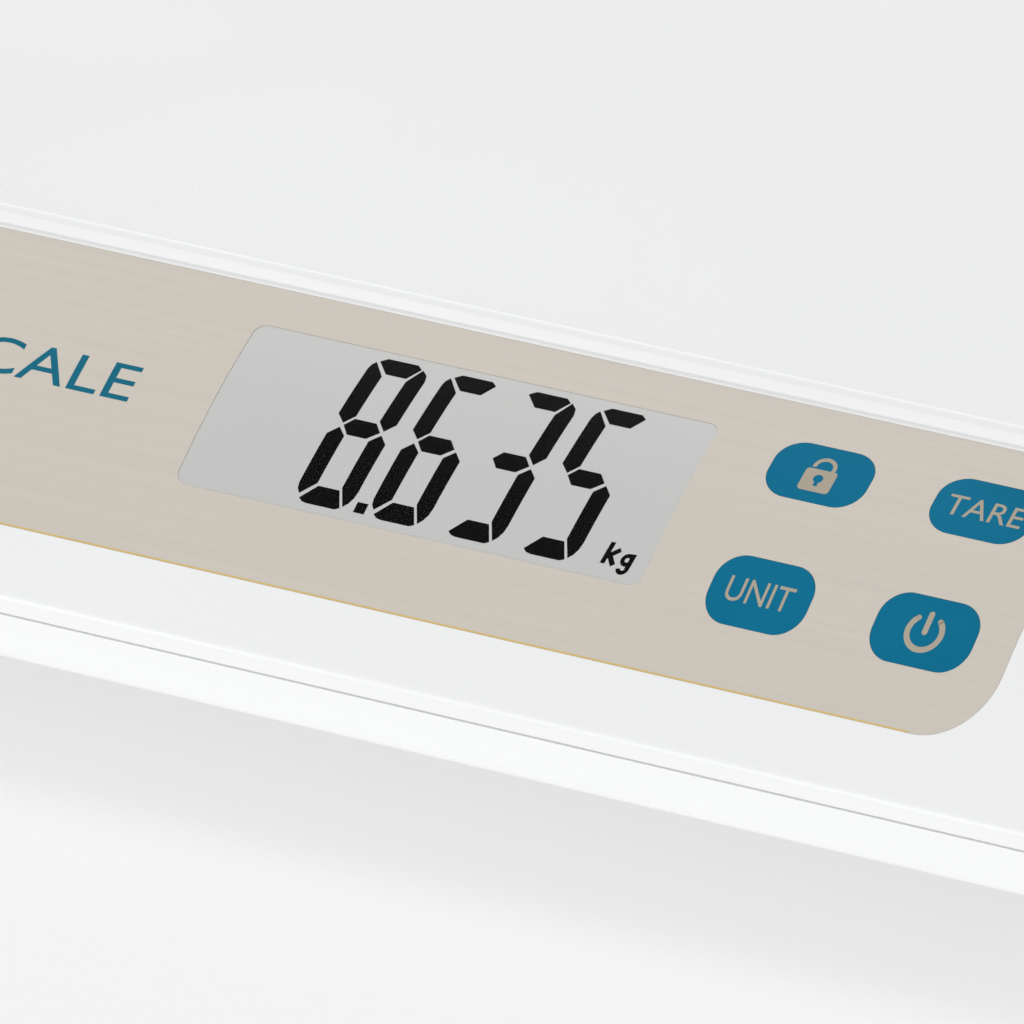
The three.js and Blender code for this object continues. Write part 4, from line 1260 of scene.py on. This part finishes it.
class SCALE_OT_keys(bpy.types.Operator):
    """Builds the four press keys and the marks on them"""

    bl_idname = "baby_scale.keys"
    bl_label = "Keys"

    RING_DROP = -0.14 * MM
    RING_OUTER, RING_INNER = 3.05 * MM, 2.19 * MM
    RING_GAP = math.radians(42)
    MARK_STROKE = 0.86 * MM
    POWER_BAR = (-0.54 * MM, 3.11 * MM)
    SHACKLE = (0.1 * MM, 1.24 * MM, 1.9 * MM, 1.26 * MM, math.radians(-20), math.radians(185))
    LOCK_BODY = (0.075 * MM, -1.28 * MM, 5.05 * MM, 4.14 * MM, 0.6 * MM)
    KEYHOLE = (0.05 * MM, -0.94 * MM, 0.77 * MM)
    KEYHOLE_STEM = 0.32 * MM
    KEYHOLE_FOOT = -2.33 * MM

    def execute(self, context):
        teal = key_print()
        beige = legend_print("key_legend", finish().legend)
        for name, place in KEYS.items():
            cap = named(upright(key_outline(place), 0, SLAB), f"key_cap_{name}")
            lay_on_console(cap, -KEY_THICKNESS, 0)
            hand_over(cap, f"key_{name}", teal, [f"key_{name}"])
            mark = getattr(self, f"{name}_mark")(*place)
            named(mark, f"key_mark_{name}")
            lay_on_console(mark, -PRINT, PRINT)
            hand_over(mark, f"key_{name}", beige, smooth=0)
        return {"FINISHED"}

    def tare_mark(self, x, y):
        return print_text("tare", "TARE", x - 5.93 * MM, y - 1.93 * MM, x + 6.37 * MM, y + 1.77 * MM)

    def unit_mark(self, x, y):
        return print_text("unit", "UNIT", x - 5.35 * MM, y - 1.84 * MM, x + 5.15 * MM, y + 1.86 * MM)

    def power_mark(self, x, y):
        """A ring with a gap at its top, round ends, and a bar in the gap."""
        y_ring = y + self.RING_DROP
        start, end = math.pi / 2 + self.RING_GAP, math.pi * 2.5 - self.RING_GAP
        ring = annulus(x, y_ring, self.RING_OUTER, self.RING_INNER, start, end, 40)
        bar = capsule(x, y + self.POWER_BAR[0], y + self.POWER_BAR[1], self.MARK_STROKE)
        middle = (self.RING_OUTER + self.RING_INNER) / 2
        radius = self.MARK_STROKE / 2
        turns = [math.pi / 6 * turn for turn in range(12)]
        caps = []
        for angle in (math.pi / 2 - self.RING_GAP, math.pi / 2 + self.RING_GAP):
            end_x, end_y = x + middle * math.cos(angle), y_ring + middle * math.sin(angle)
            caps.append([(end_x + radius * math.cos(turn), end_y + radius * math.sin(turn))
                         for turn in turns])
        return join([print_shape("ring", [ring]), print_shape("bar", [bar]),
                     *[print_shape("ring_end", [cap]) for cap in caps]])

    def lock_mark(self, x, y):
        """An open padlock: its shackle, and its body with a keyhole."""
        across, up, *ring = self.SHACKLE
        shackle = annulus(x + across, y + up, *ring, 28)
        across, up, width, depth, corner = self.LOCK_BODY
        body = rounded_block(x + across, y + up + PANEL_FRONT, width, depth, corner, 0, SLAB, segments=5)
        across, up, radius = self.KEYHOLE
        hole_x, hole_y = x + across, y + up + PANEL_FRONT
        keyhole = add_cylinder(radius, -SLAB, 2 * SLAB, (hole_x, hole_y), 24)
        stem = block((hole_x - self.KEYHOLE_STEM, y + self.KEYHOLE_FOOT + PANEL_FRONT, -SLAB),
                     (hole_x + self.KEYHOLE_STEM, hole_y, 2 * SLAB))
        combine(body, [keyhole, stem])
        return join([print_shape("shackle", [shackle]), body])


class SCALE_OT_feet(bpy.types.Operator):
    """Builds the four feet and their rubber pads"""

    bl_idname = "baby_scale.feet"
    bl_label = "Feet"

    CUP_RADIUS, CUP_BOTTOM, CUP_TOP = 20, 3, 9.3
    POCKET_RADIUS, POCKET_TOP = 16.3, 4.2
    STEM_RADIUS = 11
    PAD_RADIUS, PAD_TOP = 16, 3.9
    GROOVES, GROOVE_START, GROOVE_PITCH, GROOVE_DEPTH = 4, 4.6, 2.6, 0.7

    def execute(self, context):
        rubber = soft_rubber()
        cup = spun("foot_cup", self.cup_profile())
        pad = spun("foot_grip", self.pad_profile())
        for corner in CORNERS:
            middle = node_centre(f"foot_{corner}")
            place = Matrix.Translation((middle.x, middle.y, 0))
            foot = copied(cup, f"foot_cup_{corner}", place)
            hand_over(foot, f"foot_{corner}", frame_finish("housing_white"),
                      [f"foot_{corner}"])
            grip = copied(pad, f"foot_grip_{corner}", place)
            hand_over(grip, f"foot_{corner}", rubber, [f"foot_pad_{corner}"])
        remove(cup, pad)
        return {"FINISHED"}

    def cup_profile(self):
        """Half the cup's section in millimetres: pocket for the pad, rim and stem."""
        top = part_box(f"foot_{CORNERS[0]}")[1].z / MM
        return in_metres([
            (0, self.POCKET_TOP, 0), (self.POCKET_RADIUS, self.POCKET_TOP, 0),
            (self.POCKET_RADIUS, self.CUP_BOTTOM, 0.2), (self.CUP_RADIUS, self.CUP_BOTTOM, 0.8),
            (self.CUP_RADIUS, self.CUP_TOP, 0.9), (self.STEM_RADIUS, self.CUP_TOP, 0.5),
            (self.STEM_RADIUS, top, 0.4), (0, top, 0)])

    def pad_profile(self):
        """Half the pad's section in millimetres, with round grooves in its sole."""
        deep = self.GROOVE_DEPTH
        corners = [(0, 0.5, 0), (2.2, 0.5, 0.15), (2.4, 0, 0.15)]
        for groove in range(self.GROOVES):
            start = self.GROOVE_START + groove * self.GROOVE_PITCH
            corners += [(start, 0, 0.15), (start + 0.2, deep, 0.15), (start + 0.9, deep, 0.15),
                        (start + 1.1, 0, 0.15)]
        corners += [(self.PAD_RADIUS, 0, 0.8), (self.PAD_RADIUS, self.PAD_TOP, 0.3), (0, self.PAD_TOP, 0)]
        return in_metres(corners)


class SCALE_OT_battery_bay(bpy.types.Operator):
    """Builds the battery door, the cells and their contacts"""

    bl_idname = "baby_scale.battery_bay"
    bl_label = "Battery Bay"

    BAY_HALF = 28 * MM
    DOOR_CORNER, DOOR_ROUNDING = 0.9 * MM, 0.2 * MM
    GRIPS, GRIP_START, GRIP_PITCH, GRIP_WIDTH, GRIP_DEPTH = 5, 12 * MM, 2 * MM, 0.8 * MM, 0.45 * MM
    GRIP_HALF = 14 * MM
    FINGER_INSET, FINGER_DEPTH = 5.5 * MM, 0.8 * MM
    CELL_HALF, SLEEVE_INSET, CELL_NUB = 21.75, 0.3, 1
    BAND, BARE_RADIUS = 9 * MM, 4.4 * MM
    CONTACT, CONTACT_ROUNDING = 0.5 * MM, 0.15 * MM
    STUD_RADIUS = 2 * MM
    COILS, COIL_STEPS = 4, 20
    COIL_RADIUS, COIL_TAPER, WIRE = 3.4 * MM, 1.5 * MM, 0.35 * MM
    CONTACT_CELLS = {
        "contact_bridge_1_2": (-1, (0, 1)),
        "contact_bridge_3_4": (-1, (2, 3)),
        "contact_bridge_2_3": (1, (1, 2)),
        "contact_terminal_1": (1, (0,)),
        "contact_terminal_4": (1, (3,)),
    }

    def execute(self, context):
        self.add_door()
        self.add_cells()
        self.add_contacts()
        return {"FINISHED"}

    def add_door(self):
        low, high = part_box("battery_door")
        radius = (high.z - low.z) / 2
        front = low.y + radius
        door = rounded_block(0, (front + high.y) / 2, high.x - low.x, high.y - front, self.DOOR_CORNER,
                             low.z, high.z, 6)
        bevel_edges(door, self.DOOR_ROUNDING, 3)
        knuckle = add_cylinder(radius, -high.x, high.x, (0, 0), 32)
        axis = Matrix.Translation((0, front, low.z + radius)) @ Matrix.Rotation(math.pi / 2, 4, "Y")
        knuckle.data.transform(axis)
        combine(door, [knuckle], "UNION")
        starts = [high.y - self.GRIP_START - self.GRIP_PITCH * step for step in range(self.GRIPS)]
        half, top = self.GRIP_HALF, low.z + self.GRIP_DEPTH
        grooves = [block((-half, start, low.z - 1 * MM), (half, start + self.GRIP_WIDTH, top))
                   for start in starts]
        finger = rounded_block(0, high.y - self.FINGER_INSET, 16 * MM, 3 * MM, 1.4 * MM,
                               0, low.z + self.FINGER_DEPTH, 8)
        combine(door, [finger, *grooves])
        named(door, "battery_cover")
        hand_over(door, "battery_door", frame_finish("housing_white"), ["battery_door"])

    def add_cells(self):
        wrap = cell_wrap()
        pattern = spun("battery_cell", self.cell_profile(), steps=40)
        self.mark_ends(pattern)
        for index in range(4):
            middle = node_centre(f"battery_{index + 1}")
            turn = Matrix.Rotation(self.facing(index) * math.pi / 2, 4, "Y")
            place = Matrix.Translation((0, middle.y, middle.z)) @ turn
            cell = copied(pattern, f"battery_cell_{index + 1}", place)
            hand_over(cell, "housing", wrap, [f"battery_{index + 1}"])
        remove(pattern)

    def facing(self, index):
        """The side that a cell's nub points to: every second cell is turned round."""
        return 1 if index % 2 else -1

    def cell_profile(self):
        """Half a cell's section in millimetres, from the flat end to the nub."""
        low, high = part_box("battery_1")
        radius = (high.z - low.z) / 2 / MM
        half, nub = self.CELL_HALF, self.CELL_HALF + self.CELL_NUB
        foot, shoulder = 0.25 - half, half - self.SLEEVE_INSET
        return in_metres([
            (0, -half, 0), (3.6, -half, 0.1), (3.7, foot, 0.1), (radius, foot, 0.5), (radius, shoulder, 0.5),
            (3.2, shoulder, 0.2), (3, half, 0.2), (1.9, half, 0.15), (1.9, nub, 0.3), (0, nub, 0)])

    def mark_ends(self, cell):
        """Stores where the steel is bare and where the sleeve has its pale band."""
        half = self.CELL_HALF * MM
        bare = cell.data.attributes.new("bare_end", "FLOAT", "FACE")
        band = cell.data.attributes.new("pale_band", "FLOAT", "FACE")
        for face in cell.data.polygons:
            past_sleeve = abs(face.center.z) > half - 0.4 * MM and face.center.xy.length < self.BARE_RADIUS
            bare.data[face.index].value = 1.0 if past_sleeve else 0.0
            band.data[face.index].value = 1.0 if face.center.z > half - self.BAND else 0.0

    def add_contacts(self):
        steel = plated_steel()
        for node, (side, cells) in self.CONTACT_CELLS.items():
            self.add_contact(node, side, cells, steel)

    def add_contact(self, node, side, cells, steel):
        low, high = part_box(node)
        wall = high.x if side > 0 else low.x
        face = wall - side * self.CONTACT
        plate = block((min(wall, face), low.y, low.z), (max(wall, face), high.y, high.z))
        bevel_edges(plate, self.CONTACT_ROUNDING, 2)
        parts = [plate]
        gap = self.BAY_HALF - 2 * self.SLEEVE_INSET * MM - self.CELL_HALF * MM
        for index in cells:
            centre = node_centre(f"battery_{index + 1}")
            if self.facing(index) == side:
                parts.append(self.stud(face, side, centre, gap - self.CELL_NUB * MM))
            else:
                parts.append(self.spring(face, side, centre, gap))
        piece = named(join(parts), f"{node}_plate")
        hand_over(piece, "housing", steel, [node])

    def stud(self, face, side, centre, reach):
        """A low round stud for a cell's nub."""
        top = reach - self.CONTACT
        corners = [(0, 0, 0), (self.STUD_RADIUS, 0, 0.1 * MM),
                   (self.STUD_RADIUS - 0.5 * MM, top, 0.3 * MM), (0, top, 0)]
        piece = spun("stud", corners, steps=24)
        turn = Matrix.Rotation(-side * math.pi / 2, 4, "Y")
        piece.data.transform(Matrix.Translation((face, centre.y, centre.z)) @ turn)
        return piece

    def spring(self, face, side, centre, reach):
        """A cone-shaped spring wound from round wire."""
        length = reach - self.CONTACT - self.WIRE
        bpy.ops.object.select_all(action="DESELECT")
        bpy.ops.curve.primitive_nurbs_path_add(location=(0, 0, 0))
        coil = bpy.context.object
        coil.data.splines.clear()
        spline = coil.data.splines.new("POLY")
        steps = self.COILS * self.COIL_STEPS
        spline.points.add(steps)
        for step in range(steps + 1):
            share = step / steps
            radius = self.COIL_RADIUS - self.COIL_TAPER * share
            angle = math.tau * self.COILS * share
            along = face - side * (self.WIRE + length * share)
            spline.points[step].co = (along, centre.y + radius * math.cos(angle),
                                      centre.z + radius * math.sin(angle), 1)
        coil.data.bevel_depth = self.WIRE
        coil.data.bevel_resolution = 2
        coil.data.use_fill_caps = True
        only(coil)
        bpy.ops.object.convert(target="MESH")
        return tidy_normals(bpy.context.object)


class SCALE_OT_fasteners(bpy.types.Operator):
    """Builds the housing screws and the blank rating plate"""

    bl_idname = "baby_scale.fasteners"
    bl_label = "Fasteners"

    FLAT_RADIUS, HEAD_RADIUS, SHANK_RADIUS = 1.8 * MM, 3.5 * MM, 1.7 * MM
    HEAD_CROWN, HEAD_HEIGHT, POINT_LENGTH = 0.8 * MM, 2.2 * MM, 3 * MM
    SLOT_HALF_LENGTH, SLOT_HALF_WIDTH, SLOT_DEPTH = 2.1 * MM, 0.45 * MM, 1.3 * MM
    PLATE_CORNER, PLATE_ROUNDING = 2 * MM, 0.08 * MM

    def execute(self, context):
        for index in HOUSING_SCREWS:
            self.add_screw(index)
        self.add_rating_plate()
        return {"FINISHED"}

    def add_screw(self, index):
        """A screw with a crossed slot, modelled at its place so that the slot's small faces stay clean."""
        low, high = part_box(f"housing_screw_{index}")
        x, y, _ = (low + high) / 2
        screw = spun(f"housing_screw_head_{index}", self.screw_profile(low.z, high.z), (x, y), 40)
        length, width, top = self.SLOT_HALF_LENGTH, self.SLOT_HALF_WIDTH, low.z + self.SLOT_DEPTH
        slots = [block((x - across, y - along, low.z - 1 * MM), (x + across, y + along, top))
                 for across, along in ((length, width), (width, length))]
        combine(screw, slots)
        hand_over(screw, "housing", frame_finish("plated_steel"), [f"housing_screw_{index}"])

    def add_rating_plate(self):
        low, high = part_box("rating_plate")
        middle = (low + high) / 2
        plate = rounded_block(middle.x, middle.y, high.x - low.x, high.y - low.y, self.PLATE_CORNER,
                              low.z, high.z)
        bevel_edges(plate, self.PLATE_ROUNDING, 2)
        named(plate, "rating_plate_blank")
        hand_over(plate, "housing", silver_label(), ["rating_plate"])

    def screw_profile(self, low, high):
        return [(0, low, 0), (self.FLAT_RADIUS, low, 0),
                (self.HEAD_RADIUS, low + self.HEAD_CROWN, 0.6 * MM),
                (self.HEAD_RADIUS, low + self.HEAD_HEIGHT, 0.2 * MM),
                (self.SHANK_RADIUS, low + self.HEAD_HEIGHT, 0.2 * MM),
                (self.SHANK_RADIUS, high - self.POINT_LENGTH, 0), (0, high, 0)]


class SCALE_OT_inner_parts(bpy.types.Operator):
    """Gives the pieces inside the housings their finishes"""

    bl_idname = "baby_scale.inner_parts"
    bl_label = "Inner Parts"

    BOARD_SCREWS = range(1, 5)

    def execute(self, context):
        load_cells = [f"load_cell_{corner}" for corner in CORNERS]
        board_screws = [f"board_screw_{index}" for index in self.BOARD_SCREWS]
        finishes = {
            black_plastic(): ["lcd_holder", "controller_chip", *[f"switch_{key}" for key in KEYS]],
            soft_rubber(): ["zebra_strip"],
            board_laminate(): ["main_board"],
            frame_finish("plated_steel"): [*load_cells, *board_screws],
            red_sheath(): ["battery_lead", *[f"sensor_cable_{corner}" for corner in CORNERS]],
        }
        for material, nodes in finishes.items():
            for node in nodes:
                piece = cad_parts[node]
                piece.data.materials.clear()
                piece.data.materials.append(material)
        return {"FINISHED"}


class SCALE_PT_panel(bpy.types.Panel):
    """Sizes, colours and building steps of the baby scale"""

    bl_idname = "SCALE_PT_panel"
    bl_label = "Baby Scale"
    bl_space_type = "VIEW_3D"
    bl_region_type = "UI"
    bl_category = "Baby Scale"

    def draw(self, context):
        for operator in OPERATORS:
            self.layout.operator(operator.bl_idname)
        for settings in (sizes(), finish()):
            column = self.layout.column()
            for name in settings.bl_rna.properties.keys():
                if name not in ("rna_type", "name"):
                    column.prop(settings, name)


OPERATORS = (SCALE_OT_stage, SCALE_OT_top_housing, SCALE_OT_bottom_housing, SCALE_OT_panel, SCALE_OT_keys,
             SCALE_OT_feet, SCALE_OT_battery_bay, SCALE_OT_fasteners, SCALE_OT_inner_parts)
CLASSES = (ScaleSizes, ScaleFinish, *OPERATORS, SCALE_PT_panel)


def register():
    for cls in CLASSES:
        bpy.utils.register_class(cls)
    bpy.types.Scene.baby_scale_sizes = PointerProperty(type=ScaleSizes)
    bpy.types.Scene.baby_scale_finish = PointerProperty(type=ScaleFinish)


def unregister():
    del bpy.types.Scene.baby_scale_finish
    del bpy.types.Scene.baby_scale_sizes
    for cls in reversed(CLASSES):
        bpy.utils.unregister_class(cls)


def main():
    register()
    moulded_skin_group()
    brushed_film_group()
    for operator in OPERATORS:
        step = operator.bl_idname.split(".")[1]
        if getattr(bpy.ops.baby_scale, step)() != {"FINISHED"}:
            raise RuntimeError(f"{operator.bl_label} didn't finish")


if __name__ == "__main__":
    main()
